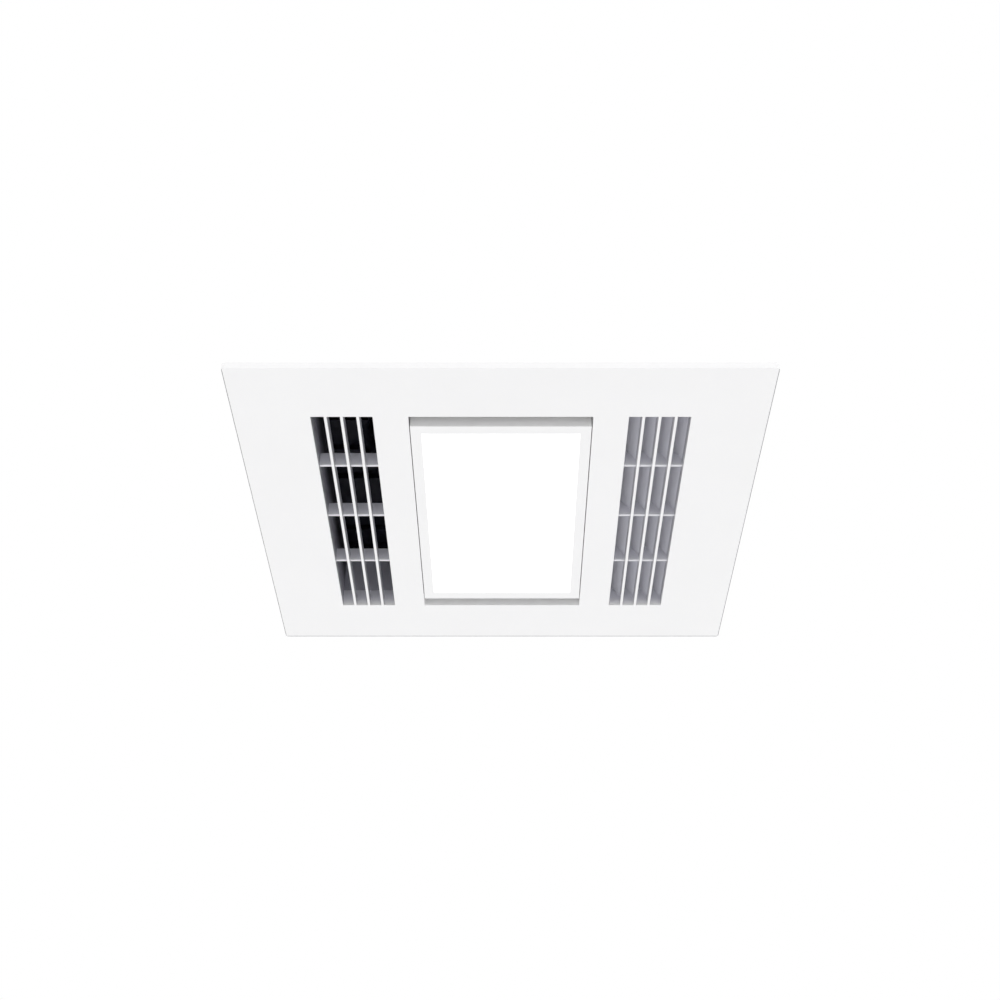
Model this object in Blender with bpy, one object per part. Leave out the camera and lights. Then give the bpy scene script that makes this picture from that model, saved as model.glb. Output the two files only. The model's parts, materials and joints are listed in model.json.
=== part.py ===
"""A square bathroom ceiling heater: a lit, grilled fascia under a housing with two fans.

Metres, +Z up. The origin is the middle of the ceiling's underside, where the housing's flange
sits. The fascia's long grilles run along Y: room air goes in on the -X side, warm air comes out
on the +X side, and stale air leaves through the round collar on the +Y side.
"""

import math

import bmesh
import bpy
from mathutils import Matrix, Vector

# Fits
SEAT_GAP = 0.0003  # between pieces that rest on each other
HOLE_GAP = 0.0003  # round a screw or a fixed shaft in its hole
RUN_GAP = 0.0001  # round a shaft that turns in its bearing, or a flap on its pin
OVERRUN = 0.002  # how far a cut runs past the face that it opens
BITE = 0.001  # how far a joined shape reaches into the one that carries it

# Fascia
FASCIA_SIDE = 0.4
FACE_DEPTH = 0.0056  # from the ceiling down to the visible face
FASCIA_PLATE = 0.0026
RIM_WALL = 0.0025
FASCIA_CORNER = 0.0022
GRILLE_BAND = 0.0266  # between the light's window and each grille
SLOT_WIDTH = 0.00995
BAR_WIDTH = 0.0022
BAR_HEIGHT = 0.0095
SLOT_COUNT = 4
CROSS_WIDTH = 0.0026
CROSS_COUNT = 3
CROSS_RECESS = 0.0043
CROSS_TOP = 0.0157
VANE_ANGLE = math.radians(52)
VANE_RISE = 0.0125
UPSTAND_WALL = 0.002
LIGHT_SIDE_GAP = 0.0006
LIGHT_END_GAP = 0.0121  # where room air goes in round the light
LIGHT_UPSTAND = 0.012

# Seal on the back of the fascia
SEAL_WIDTH = 0.008
SEAL_INSET = 0.004  # from the flange's edge

# Posts that hold the fascia in its catches
POST_OFFSET = 0.00735  # from the grille's outer edge to the middle of a post
POST_Y = 0.095
POST_WIDTH = 0.012
POST_THICKNESS = 0.0024
POST_TOP = 0.04
POST_TIP = 0.003
POST_FOOT = 0.008
POST_FOOT_SLOPE = 0.006
CATCH_ROOM = 0.00655  # from the middle of a post to the housing's outside
CATCH_GAP = 0.0003
CATCH_WIDTH = 0.010
CATCH_STRIP = 0.0006
CATCH_TOP = 0.034
CATCH_SHOULDER = 0.022
CATCH_NOSE = 0.014
CATCH_FOOT = 0.004

# Light
LIT_WIDTH = 0.1208
LIT_LENGTH = 0.24
BEZEL_SIDE_BAND = 0.0081
BEZEL_END_BAND = 0.0096
BEZEL_LIP = 0.0016
BEZEL_WALL = 0.0018
DIFFUSER_STEP = 0.0017
DIFFUSER_RECESS = 0.0002
DIFFUSER_FLANGE = 0.002
DIFFUSER_SHEET = 0.0015
GUIDE_SHEET = 0.003
GUIDE_INSET = 0.002  # inside the diffuser's outline, to leave room for the light strips
REFLECTOR_SHEET = 0.0005
STRIP_BOARD = 0.0008
STRIP_HEIGHT = 0.0036
STRIP_INSET = 0.006  # from each end of the lit face
CHIP_COUNT = 12
CHIP_LENGTH = 0.004
CHIP_HEIGHT = 0.0016
CHIP_DEPTH = 0.0006
BACK_SHEET = 0.001
PAN_INSET = 0.0095  # from the back plate's edge to its pressed pan
TAB_WIDTH = 0.016
TAB_SETBACK = 0.0396  # from the light's end
TAB_REACH = 0.0115
TAB_HOLE_SETBACK = 0.004
LIGHT_BOSS_RADIUS = 0.0035
LIGHT_SCREW_RADIUS = 0.0013
LIGHT_SCREW_HEAD = 0.003
LIGHT_SCREW_LENGTH = 0.008
SCREW_HEAD_HEIGHT = 0.002

# Housing
HOUSING_HEIGHT = 0.172
WINDOW_MARGIN = 0.0143  # from the window's end to the housing's outside
SHEET = 0.0012
FLANGE_WIDTH = 0.016
FLANGE_HOLE_RADIUS = 0.0026
FLANGE_HOLE_SETBACK = 0.046  # from the housing's corner

# Partition between the two fans
PARTITION_CLEAR = 0.0105  # past the blower's scroll
PARTITION_FOOT = 0.014
PARTITION_FLANGE = 0.012
RETURN_SETBACK = 0.036  # from the housing's outside
RETURN_RISE = 0.006  # over the partition's foot
RETURN_DROP = 0.006  # under the blower's base

# Liner over the intake grille
LINER_WALL = 0.0015
LINER_TOP = 0.0444

# Exhaust blower
BASE_UNDERSIDE = 0.058
BASE_PLATE = 0.0025
PAD_DEPTH = 0.005
PAD_SHARES = ((-0.41, -0.27), (-0.12, 0.02), (0.18, 0.35))  # of half the window's length
RIB_WIDTH = 0.0016
RIB_SHARES = (0.55, 0.765, 0.97)  # of half the window's length
INLET_OVERLAP = 0.015  # of the impeller past the inlet
BELL_RADIUS = 0.007
BELL_WALL = 0.002
SCROLL_HEIGHT = 0.0575
SCROLL_WALL = 0.002
SCROLL_CUTOFF = 0.004  # from the impeller to the start of the spiral
SCROLL_GROWTH = 0.021
SCROLL_SIDE_GAP = 0.0038
SCROLL_START = math.radians(100)
SCROLL_SWEEP = math.radians(280)
OUTLET_WIDTH = 0.09
COVER_LIP = 0.00575
COVER_DRIVER_GAP = 0.004
IMPELLER_RADIUS = 0.062
BLADE_DEPTH = 0.012
BLADE_COUNT = 22
BLADE_THICKNESS = 0.0012
BLADE_LEAN = math.radians(35)
IMPELLER_LOW_GAP = 0.0072
IMPELLER_HIGH_GAP = 0.006
IMPELLER_RING = 0.002
HUB_RADIUS = 0.009
HUB_HEIGHT = 0.018
HUB_CONE_RADIUS = 0.026
SHAFT_RADIUS = 0.004
SHAFT_TIP = 0.003  # below the hub
SHAFT_REACH = 0.0205  # over the cover
MOTOR_RADIUS = 0.042
MOTOR_FLANGE_WIDTH = 0.007
MOTOR_FLANGE = 0.0022
MOTOR_HEIGHT = 0.038
MOTOR_EDGE = 0.005
MOTOR_CAP_RADIUS = 0.016
MOTOR_CAP_HEIGHT = 0.0045
MOTOR_BOSS_RADIUS = 0.018
MOTOR_BOSS_DEPTH = 0.0048  # below the cover
MOTOR_HOLE_GAP = 0.003

# Duct adapter and its back-draught flap
DUCT_FLANGE_MARGIN = 0.008
DUCT_FLANGE = 0.0022
DUCT_WALL = 0.002
DUCT_WIDENING = 0.002  # of the collar over half the outlet
DUCT_FUNNEL = 0.018
DUCT_COLLAR = 0.038
DUCT_SCREW_INSET = 0.0035
DUCT_SCREW_RADIUS = 0.0015
DUCT_SCREW_HEAD = 0.003
DUCT_SCREW_LENGTH = 0.006
FLAP_GAP = 0.003  # round the flap, in the collar
FLAP_SHEET = 0.0016
FLAP_SETBACK = 0.017  # from the collar's mouth
FLAP_AXIS_RISE = 0.012
FLAP_BARREL_RADIUS = 0.0028
FLAP_BARREL_INSET = 0.004
PIN_RADIUS = 0.00125
PIN_REACH = 0.0016  # into the collar's wall
STOP_WIDTH = 0.016
STOP_DEPTH = 0.0016
STOP_HEIGHT = 0.005

# Heater
END_PLATE_REACH = 0.044  # from the wheel's axis
DUCT_TOP = 0.042
DUCT_TOP_WIDTH = 0.0516
DUCT_TOP_INSET = 0.0015  # inside the end plates
HEATER_FLANGE = 0.007
PTC_HEIGHT = 0.027
PTC_FRAME_WALL = 0.003
PTC_END_WALL = 0.0045
PTC_BAR_WIDTH = 0.0078
FIN_SHEET = 0.0006
FIN_INSET = 0.0015
FIN_COUNT = 32
CUTOUT_RADIUS = 0.008
CUTOUT_HEIGHT = 0.006
CUTOUT_FLANGE = 0.0015
CUTOUT_Y = 0.06
WHEEL_RADIUS = 0.033
WHEEL_BLADE_DEPTH = 0.008
WHEEL_BLADE_COUNT = 20
WHEEL_CLEAR = 0.0097  # over the heater block
WHEEL_END_GAP = 0.003
WHEEL_DISC = 0.002
WHEEL_HUB_RADIUS = 0.008
WHEEL_HUB_LENGTH = 0.005
JOURNAL_RADIUS = 0.003
HEATER_SCROLL_START = math.radians(-35)
HEATER_SCROLL_END = math.radians(120)
HEATER_SCROLL_START_GAP = 0.0115
HEATER_SCROLL_END_GAP = 0.0035
HEATER_SCROLL_WALL_GAP = 0.0026
HEATER_SCROLL_RISE = 0.0027  # of its foot over the block's underside
HEATER_THROAT_RISE = 0.0107
TONGUE_SHARES = ((-0.74, -0.67), (-1, -0.54))  # of the scroll's end radius
BUSH_RADIUS = 0.0097
BUSH_FLANGE_RADIUS = 0.013
BUSH_FLANGE = 0.0025
BUSH_NOSE = 0.0008
FAN_MOTOR_RADIUS = 0.029
FAN_MOTOR_LENGTH = 0.028
FAN_MOTOR_FLANGE_RADIUS = 0.036
FAN_MOTOR_FLANGE = 0.002
FAN_MOTOR_CAP_RADIUS = 0.01
FAN_MOTOR_CAP = 0.003
FAN_MOTOR_BORE = 0.012
FAN_MOTOR_WALL_GAP = 0.0033

# Electrics
DRIVER_SIZE = (0.08, 0.03, 0.022)
DRIVER_WALL_GAP = 0.0028
DRIVER_PARTITION_GAP = 0.014
DRIVER_TAB = 0.007
DRIVER_TAB_SHEET = 0.002
CAPACITOR_SIZE = (0.042, 0.022, 0.032)
CAPACITOR_SIDE_GAP = 0.0148
CAPACITOR_WALL_GAP = 0.0048
BOX_EDGE = 0.002
SOCKET_SIZE = (0.0155, 0.014, 0.022)
SOCKET_SETBACK = 0.0296  # from the light's end
SOCKET_LOW = 0.012
BLADE_SIZE = (0.001, 0.004, 0.012)
BLADE_SPACING = 0.006
PLUG_INSET = 0.002
TERMINAL_SIZE = (0.1, 0.07, 0.028)
TERMINAL_X = 0.02
TERMINAL_Y = -0.069
TERMINAL_SKIRT = 0.008
TERMINAL_BOSS = 0.009
TERMINAL_BOSS_INSET = 0.0055
COVER_SCREW_RADIUS = 0.0015
COVER_SCREW_HEAD = 0.0034
COVER_SCREW_LENGTH = 0.01
BLOCK_SIZE = (0.078, 0.016, 0.015)
BLOCK_WAYS = 7
BLOCK_CLEAR = 0.008  # from the terminal box's far wall
BLOCK_SLOT = 0.0012
GLAND_HEX_RADIUS = 0.0095
GLAND_HEX_LENGTH = 0.005
GLAND_THREAD_RADIUS = 0.0072
GLAND_THREAD_LENGTH = 0.007
GLAND_NUT_RADIUS = 0.0085
GLAND_NUT_LENGTH = 0.013
GLAND_BORE_RADIUS = 0.004
GLAND_HEIGHT = 0.0105
GLAND_SETBACK = 0.018  # from the terminal box's middle, clear of the cover screw
EARTH_GAP = 0.025  # beside the terminal box
EARTH_SCREW_RADIUS = 0.002
EARTH_SCREW_HEAD = 0.0045
EARTH_SCREW_LENGTH = 0.007
LEAD_RADIUS = 0.0022
LEAD_HOLE_RADIUS = 0.0045
EXHAUST_WAY_OFFSET = 0.01  # from the terminal box's middle
HEATER_WAY_OFFSET = 0.025
WAY_SETBACK = 0.016
LIGHT_LEAD_GAP = 0.007  # from the partition
LIGHT_LEAD_RADIUS = 0.0016

# Counts of straight sides on round shapes
ROUND = 36
SMALL_ROUND = 12

# Places and sizes that follow from those above
FACE_Z = -FACE_DEPTH
LIGHT_WIDTH = LIT_WIDTH + 2 * BEZEL_SIDE_BAND
LIGHT_LENGTH = LIT_LENGTH + 2 * BEZEL_END_BAND
LIGHT_WINDOW_WIDTH = LIGHT_WIDTH + 2 * LIGHT_SIDE_GAP
WINDOW_LENGTH = LIGHT_LENGTH + 2 * LIGHT_END_GAP
WINDOW_HALF = WINDOW_LENGTH / 2
STRIP_LENGTH = LIT_LENGTH - 2 * STRIP_INSET
TAB_Y = LIGHT_LENGTH / 2 - TAB_SETBACK
LIGHT_BACK_Z = FACE_Z + LIGHT_UPSTAND + SEAT_GAP
GRILLE_NEAR_X = LIGHT_WINDOW_WIDTH / 2 + GRILLE_BAND
GRILLE_FAR_X = GRILLE_NEAR_X + SLOT_COUNT * SLOT_WIDTH + (SLOT_COUNT - 1) * BAR_WIDTH
OUTLET_BOX_TOP = BAR_HEIGHT + VANE_RISE
POST_X = GRILLE_FAR_X + POST_OFFSET

HOUSING_SIDE = 2 * max(POST_X + CATCH_ROOM, WINDOW_HALF + WINDOW_MARGIN)
WALL_INNER = HOUSING_SIDE / 2 - SHEET
FIT_INNER = WALL_INNER - SEAT_GAP  # where a piece that seats on the housing's wall ends
FLANGE_HOLE_STEP = HOUSING_SIDE / 2 - FLANGE_HOLE_SETBACK

BASE_TOP = BASE_UNDERSIDE + BASE_PLATE
SCROLL_LOW = BASE_TOP + SEAT_GAP
SCROLL_HIGH = SCROLL_LOW + SCROLL_HEIGHT - SEAT_GAP
COVER_LOW = SCROLL_HIGH + SEAT_GAP
COVER_HIGH = COVER_LOW + SHEET
INLET_RADIUS = IMPELLER_RADIUS - INLET_OVERLAP
IMPELLER_LOW = SCROLL_LOW + IMPELLER_LOW_GAP
IMPELLER_HIGH = SCROLL_HIGH - IMPELLER_HIGH_GAP
HUB_LOW = IMPELLER_HIGH - HUB_HEIGHT
SHAFT_LOW = HUB_LOW - SHAFT_TIP
SHAFT_HIGH = COVER_HIGH + SHAFT_REACH
MOTOR_BOSS_LOW = COVER_LOW - MOTOR_BOSS_DEPTH
MOTOR_LOW = COVER_HIGH + SEAT_GAP
MOTOR_HIGH = MOTOR_LOW + MOTOR_HEIGHT


def scroll_radius(angle):
    """The spiral's radius at an angle on its way round, clockwise as seen from above."""
    share = (SCROLL_START - angle) / SCROLL_SWEEP
    return IMPELLER_RADIUS + SCROLL_CUTOFF + SCROLL_GROWTH * share


SCROLL_END_RADIUS = scroll_radius(SCROLL_START - SCROLL_SWEEP)
DRIVER_Y = DRIVER_WALL_GAP + DRIVER_SIZE[1] / 2 - WALL_INNER
COVER_EDGE_Y = DRIVER_Y + DRIVER_SIZE[1] / 2 + COVER_DRIVER_GAP
BLOWER_X = SCROLL_END_RADIUS + SCROLL_WALL + SCROLL_SIDE_GAP - WALL_INNER
BLOWER_Y = COVER_EDGE_Y + COVER_LIP + SCROLL_WALL + scroll_radius(-math.pi / 2)
PARTITION_X = BLOWER_X + scroll_radius(0) + SCROLL_WALL + PARTITION_CLEAR
RETURN_WIDTH = HOUSING_SIDE - 2 * RETURN_SETBACK
RETURN_LOW = PARTITION_FOOT + RETURN_RISE
RETURN_HIGH = BASE_UNDERSIDE - RETURN_DROP

OUTLET_LEFT = BLOWER_X - SCROLL_END_RADIUS
OUTLET_MIDDLE_X = OUTLET_LEFT + OUTLET_WIDTH / 2
OUTLET_MIDDLE_Z = (SCROLL_LOW + SCROLL_HIGH) / 2
DUCT_RADIUS = OUTLET_WIDTH / 2 + DUCT_WIDENING
DUCT_START_Y = HOUSING_SIDE / 2 + SEAT_GAP
FUNNEL_END_Y = DUCT_START_Y + DUCT_FLANGE + DUCT_FUNNEL
DUCT_END_Y = FUNNEL_END_Y + DUCT_COLLAR
FLAP_RADIUS = DUCT_RADIUS - FLAP_GAP
FLAP_Y = DUCT_END_Y - FLAP_SETBACK
FLAP_AXIS_Z = OUTLET_MIDDLE_Z + FLAP_AXIS_RISE

PTC_LOW = DUCT_TOP + SEAT_GAP
PTC_HIGH = PTC_LOW + PTC_HEIGHT
DUCT_TOP_LOW_X = GRILLE_FAR_X - DUCT_TOP_WIDTH
FAN_MOTOR_STACK = FAN_MOTOR_FLANGE + FAN_MOTOR_LENGTH + FAN_MOTOR_CAP
END_PLATE_Y = WALL_INNER - FAN_MOTOR_WALL_GAP - FAN_MOTOR_STACK - SEAT_GAP - SHEET
WHEEL_LENGTH = 2 * (END_PLATE_Y - WHEEL_END_GAP)


def heater_scroll_radius(angle):
    share = (angle - HEATER_SCROLL_START) / (HEATER_SCROLL_END - HEATER_SCROLL_START)
    gap = HEATER_SCROLL_START_GAP + (HEATER_SCROLL_END_GAP - HEATER_SCROLL_START_GAP) * share
    return WHEEL_RADIUS + gap


HEATER_X = FIT_INNER - HEATER_SCROLL_WALL_GAP - SHEET - heater_scroll_radius(0)
HEATER_Z = PTC_HIGH + WHEEL_CLEAR + WHEEL_RADIUS
END_PLATE_LOW_X = HEATER_X - END_PLATE_REACH

ROOF_UNDERSIDE = HOUSING_HEIGHT - SHEET
TERMINAL_LOW = HOUSING_HEIGHT + SEAT_GAP
GLAND_Y = TERMINAL_Y - GLAND_SETBACK
EARTH_X = TERMINAL_X + TERMINAL_SIZE[0] / 2 + EARTH_GAP
DRIVER_X = PARTITION_X - DRIVER_PARTITION_GAP - DRIVER_TAB - DRIVER_SIZE[0] / 2
CAPACITOR_X = CAPACITOR_SIDE_GAP + CAPACITOR_SIZE[0] / 2 - WALL_INNER
CAPACITOR_Y = CAPACITOR_WALL_GAP + CAPACITOR_SIZE[1] / 2 - WALL_INNER
SOCKET_Y = SOCKET_SETBACK - LIGHT_LENGTH / 2
EXHAUST_LEAD_X = TERMINAL_X - EXHAUST_WAY_OFFSET
HEATER_LEAD_X = TERMINAL_X + HEATER_WAY_OFFSET
LEAD_HOLE_Y = TERMINAL_Y - WAY_SETBACK
LIGHT_LEAD_X = PARTITION_X - LIGHT_LEAD_GAP


# Shapes


def prism(outline, axis, low, high):
    """The outline's points lie across the axis: (x, y) for Z, (x, z) for Y and (y, z) for X."""
    place = {
        "X": lambda u, v, w: (w, u, v),
        "Y": lambda u, v, w: (u, w, v),
        "Z": lambda u, v, w: (u, v, w),
    }[axis]
    bm = bmesh.new()
    lower = [bm.verts.new(place(u, v, low)) for u, v in outline]
    upper = [bm.verts.new(place(u, v, high)) for u, v in outline]
    bm.faces.new(lower)
    bm.faces.new(upper)
    for i in range(len(outline)):
        j = (i + 1) % len(outline)
        bm.faces.new((lower[i], lower[j], upper[j], upper[i]))
    bmesh.ops.recalc_face_normals(bm, faces=bm.faces)
    return bm


def rectangle(u_low, u_high, v_low, v_high):
    return [(u_low, v_low), (u_high, v_low), (u_high, v_high), (u_low, v_high)]


def box(x_low, x_high, y_low, y_high, z_low, z_high):
    return prism(rectangle(x_low, x_high, y_low, y_high), "Z", z_low, z_high)


def arc(centre, radius, start, end, steps):
    """Points on an arc, with both of its ends."""
    angles = [start + (end - start) * i / steps for i in range(steps + 1)]
    return [(centre[0] + radius * math.cos(a), centre[1] + radius * math.sin(a)) for a in angles]


def circle(centre, radius, sides=ROUND):
    return arc(centre, radius, 0, math.tau, sides)[:-1]


def round_rectangle(u_low, u_high, v_low, v_high, radius, steps=3):
    corners = [
        (u_high - radius, v_high - radius),
        (u_low + radius, v_high - radius),
        (u_low + radius, v_low + radius),
        (u_high - radius, v_low + radius),
    ]
    quarter = math.pi / 2
    points = []
    for i, corner in enumerate(corners):
        points += arc(corner, radius, i * quarter, (i + 1) * quarter, steps)
    return points


def strip(path, thickness):
    """The outline of a bent strip whose right-hand side, along the path, is the path itself."""
    offset = []
    for i, point in enumerate(path):
        before = Vector(point) - Vector(path[i - 1]) if i else None
        after = Vector(path[i + 1]) - Vector(point) if i + 1 < len(path) else None
        ways = [way.normalized() for way in (before, after) if way is not None]
        mean = sum(ways, Vector((0, 0))).normalized()
        left = Vector((-mean.y, mean.x))
        reach = thickness / max(left.dot(Vector((-ways[0].y, ways[0].x))), 0.5)
        offset.append(tuple(Vector(point) + left * reach))
    return list(path) + offset[::-1]


def turned(profile, axis, centre, sides=ROUND):
    """A closed profile of (radius, height) points turned about an axis through the centre."""
    place = {
        "X": lambda r, h, a: (h, r * math.cos(a), r * math.sin(a)),
        "Y": lambda r, h, a: (r * math.sin(a), h, r * math.cos(a)),
        "Z": lambda r, h, a: (r * math.cos(a), r * math.sin(a), h),
    }[axis]
    bm = bmesh.new()
    rings = []
    for radius, height in profile:
        turns = sides if radius > 0 else 1
        angles = [math.tau * i / turns for i in range(turns)]
        rings.append([bm.verts.new(place(radius, height, a)) for a in angles])
    for i, ring in enumerate(rings):
        following = rings[(i + 1) % len(rings)]
        for k in range(sides):
            corners = [ring[k % len(ring)], ring[(k + 1) % len(ring)]]
            corners += [following[(k + 1) % len(following)], following[k % len(following)]]
            unlike = list(dict.fromkeys(corners))
            if len(unlike) > 2:
                bm.faces.new(unlike)
    bmesh.ops.recalc_face_normals(bm, faces=bm.faces)
    bmesh.ops.translate(bm, vec=centre, verts=bm.verts)
    return bm


def loft(rings):
    """A solid through rings that have the same number of points, with flat ends."""
    bm = bmesh.new()
    loops = [[bm.verts.new(point) for point in ring] for ring in rings]
    bm.faces.new(loops[0])
    bm.faces.new(loops[-1])
    for lower, upper in zip(loops, loops[1:]):
        for i in range(len(lower)):
            j = (i + 1) % len(lower)
            bm.faces.new((lower[i], lower[j], upper[j], upper[i]))
    bmesh.ops.recalc_face_normals(bm, faces=bm.faces)
    return bm


def together(shapes):
    """Shapes that don't touch each other, as one mesh."""
    joined = bmesh.new()
    for shape in shapes:
        mesh = bpy.data.meshes.new("shape")
        shape.to_mesh(mesh)
        shape.free()
        joined.from_mesh(mesh)
        bpy.data.meshes.remove(mesh)
    return joined


# Objects


def material(name, colour, roughness, metallic=0.0):
    made = bpy.data.materials.new(name)
    made.use_nodes = True
    shader = made.node_tree.nodes["Principled BSDF"]
    shader.inputs["Base Color"].default_value = (*colour, 1.0)
    shader.inputs["Roughness"].default_value = roughness
    shader.inputs["Metallic"].default_value = metallic
    made.diffuse_color = (*colour, 1.0)
    return made


def add_object(name, shape, parent):
    mesh = bpy.data.meshes.new(name)
    shape.transform(parent.matrix_world.inverted())
    shape.to_mesh(mesh)
    shape.free()
    made = bpy.data.objects.new(name, mesh)
    made.parent = parent
    bpy.context.collection.objects.link(made)
    return made


def solid(name, made_of, parent, shape, *steps, smooth=False):
    """An object of one shape, and then, in order, of those that steps join to it or cut away."""
    made = add_object(name, shape, parent)
    made.data.materials.append(made_of)
    for i, (operation, other) in enumerate(steps):
        tool = add_object(f"{name}_{operation.lower()}_{i + 1}", other, parent)
        tool.hide_render = True
        tool.display_type = "WIRE"
        modifier = made.modifiers.new(tool.name, "BOOLEAN")
        modifier.operation = operation
        modifier.object = tool
    if smooth:
        made.data.shade_smooth()
        made.data.set_sharp_from_angle(angle=math.radians(35))
    return made


def join(*shapes):
    return "UNION", together(shapes)


def cut(*shapes):
    return "DIFFERENCE", together(shapes)


def body(name, location=(0, 0, 0)):
    """An empty on a moving body's joint axis, or at the origin for the housing."""
    made = bpy.data.objects.new(name, None)
    made.location = location
    made.matrix_world = Matrix.Translation(location)
    bpy.context.collection.objects.link(made)
    return made


def screw(name, made_of, parent, axis, point, head_radius, shank_radius, length, away=1):
    """A pan-head screw: its head stands on the point, towards away, and its shank goes the other way."""
    head = away * SCREW_HEAD_HEIGHT
    profile = [
        (0, head),
        (head_radius * 0.7, head),
        (head_radius, head * 0.55),
        (head_radius, 0),
        (shank_radius, 0),
        (shank_radius, -away * (length - shank_radius)),
        (0, -away * length),
    ]
    shape = turned(profile, axis, point, SMALL_ROUND)
    solid(name, made_of, parent, shape, smooth=True)


# Places that several pieces follow


def slot_spans():
    """The low and high distance from the middle of each slot in a grille."""
    step = SLOT_WIDTH + BAR_WIDTH
    starts = [GRILLE_NEAR_X + i * step for i in range(SLOT_COUNT)]
    return [(start, start + SLOT_WIDTH) for start in starts]


def cell_spans():
    """The low and high Y of each cell between cross bars."""
    length = (WINDOW_LENGTH - CROSS_COUNT * CROSS_WIDTH) / (CROSS_COUNT + 1)
    starts = [-WINDOW_HALF + i * (length + CROSS_WIDTH) for i in range(CROSS_COUNT + 1)]
    return [(start, start + length) for start in starts]


def light_screw_points():
    x = LIGHT_WIDTH / 2 + TAB_REACH - TAB_HOLE_SETBACK
    return [(side * x, end * TAB_Y) for side in (-1, 1) for end in (-1, 1)]


def duct_screw_points():
    x = OUTLET_WIDTH / 2 + DUCT_FLANGE_MARGIN - DUCT_SCREW_INSET
    z = SCROLL_HEIGHT / 2 + DUCT_FLANGE_MARGIN - DUCT_SCREW_INSET
    return [
        (OUTLET_MIDDLE_X + i * x, OUTLET_MIDDLE_Z + k * z) for i in (-1, 1) for k in (-1, 1)
    ]


def cover_screw_points():
    reach = TERMINAL_SIZE[0] / 2 - TERMINAL_BOSS_INSET
    return [(TERMINAL_X + side * reach, TERMINAL_Y) for side in (-1, 1)]


# Fascia


def fascia_post(side, end):
    """A post's outline in X and Z: a foot on the fascia, a straight flank and a pointed tip."""
    inner = POST_X - POST_THICKNESS / 2
    outer = POST_X + POST_THICKNESS / 2
    foot_x = GRILLE_FAR_X + UPSTAND_WALL - BITE
    foot_z = FACE_Z + POST_FOOT
    outline = [
        (foot_x, FACE_Z + BITE),
        (outer, FACE_Z + BITE),
        (outer, POST_TOP - POST_TIP),
        (outer - POST_THICKNESS / 3, POST_TOP),
        (inner + POST_THICKNESS / 3, POST_TOP),
        (inner, POST_TOP - POST_TIP),
        (inner, foot_z + POST_FOOT_SLOPE),
        (foot_x, foot_z),
    ]
    middle = end * POST_Y
    points = [(side * x, z) for x, z in outline]
    return prism(points, "Y", middle - POST_WIDTH / 2, middle + POST_WIDTH / 2)


def outlet_block():
    """The right grille's block, whose left wall leans like the vanes that are cut from it."""
    run = VANE_RISE / math.tan(VANE_ANGLE)
    left = GRILLE_NEAR_X - BAR_WIDTH
    right = GRILLE_FAR_X + UPSTAND_WALL
    outline = [
        (left, FACE_Z + BITE),
        (right, FACE_Z + BITE),
        (right, FACE_Z + OUTLET_BOX_TOP),
        (left - run, FACE_Z + OUTLET_BOX_TOP),
        (left, FACE_Z + BAR_HEIGHT),
    ]
    return prism(outline, "Y", -WINDOW_HALF - UPSTAND_WALL, WINDOW_HALF + UPSTAND_WALL)


def vane_channels():
    """The leaning air ways between vanes, one in each slot of each cell."""
    foot = FACE_Z + BAR_HEIGHT
    low = foot - BITE / 2
    high = FACE_Z + OUTLET_BOX_TOP + OVERRUN
    shift = (high - foot) / math.tan(VANE_ANGLE)
    channels = []
    for left, right in slot_spans():
        outline = [(left, low), (right, low), (right, foot),
                   (right - shift, high), (left - shift, high), (left, foot)]
        channels += [prism(outline, "Y", near, far) for near, far in cell_spans()]
    return channels


def outlet_pockets():
    """The hollow between the last vane and the right-hand wall, in each cell."""
    lean = 1 / math.tan(VANE_ANGLE)
    low = BAR_HEIGHT + BAR_WIDTH / lean
    high = OUTLET_BOX_TOP + OVERRUN
    outline = [
        (GRILLE_FAR_X, FACE_Z + low),
        (GRILLE_FAR_X, FACE_Z + high),
        (GRILLE_FAR_X - (high - low) * lean, FACE_Z + high),
    ]
    return [prism(outline, "Y", near, far) for near, far in cell_spans()]


def slots(side):
    """The long slots in the visible face, down to the recessed cross bars."""
    return [
        box(min(side * low, side * high), max(side * low, side * high), -WINDOW_HALF, WINDOW_HALF,
            FACE_Z - OVERRUN, FACE_Z + CROSS_RECESS)
        for low, high in slot_spans()
    ]


def cells(side, top):
    """The cells above the slots, between the cross bars."""
    return [
        box(min(side * low, side * high), max(side * low, side * high), near, far,
            FACE_Z + CROSS_RECESS - BITE / 2, FACE_Z + top)
        for low, high in slot_spans()
        for near, far in cell_spans()
    ]


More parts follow.
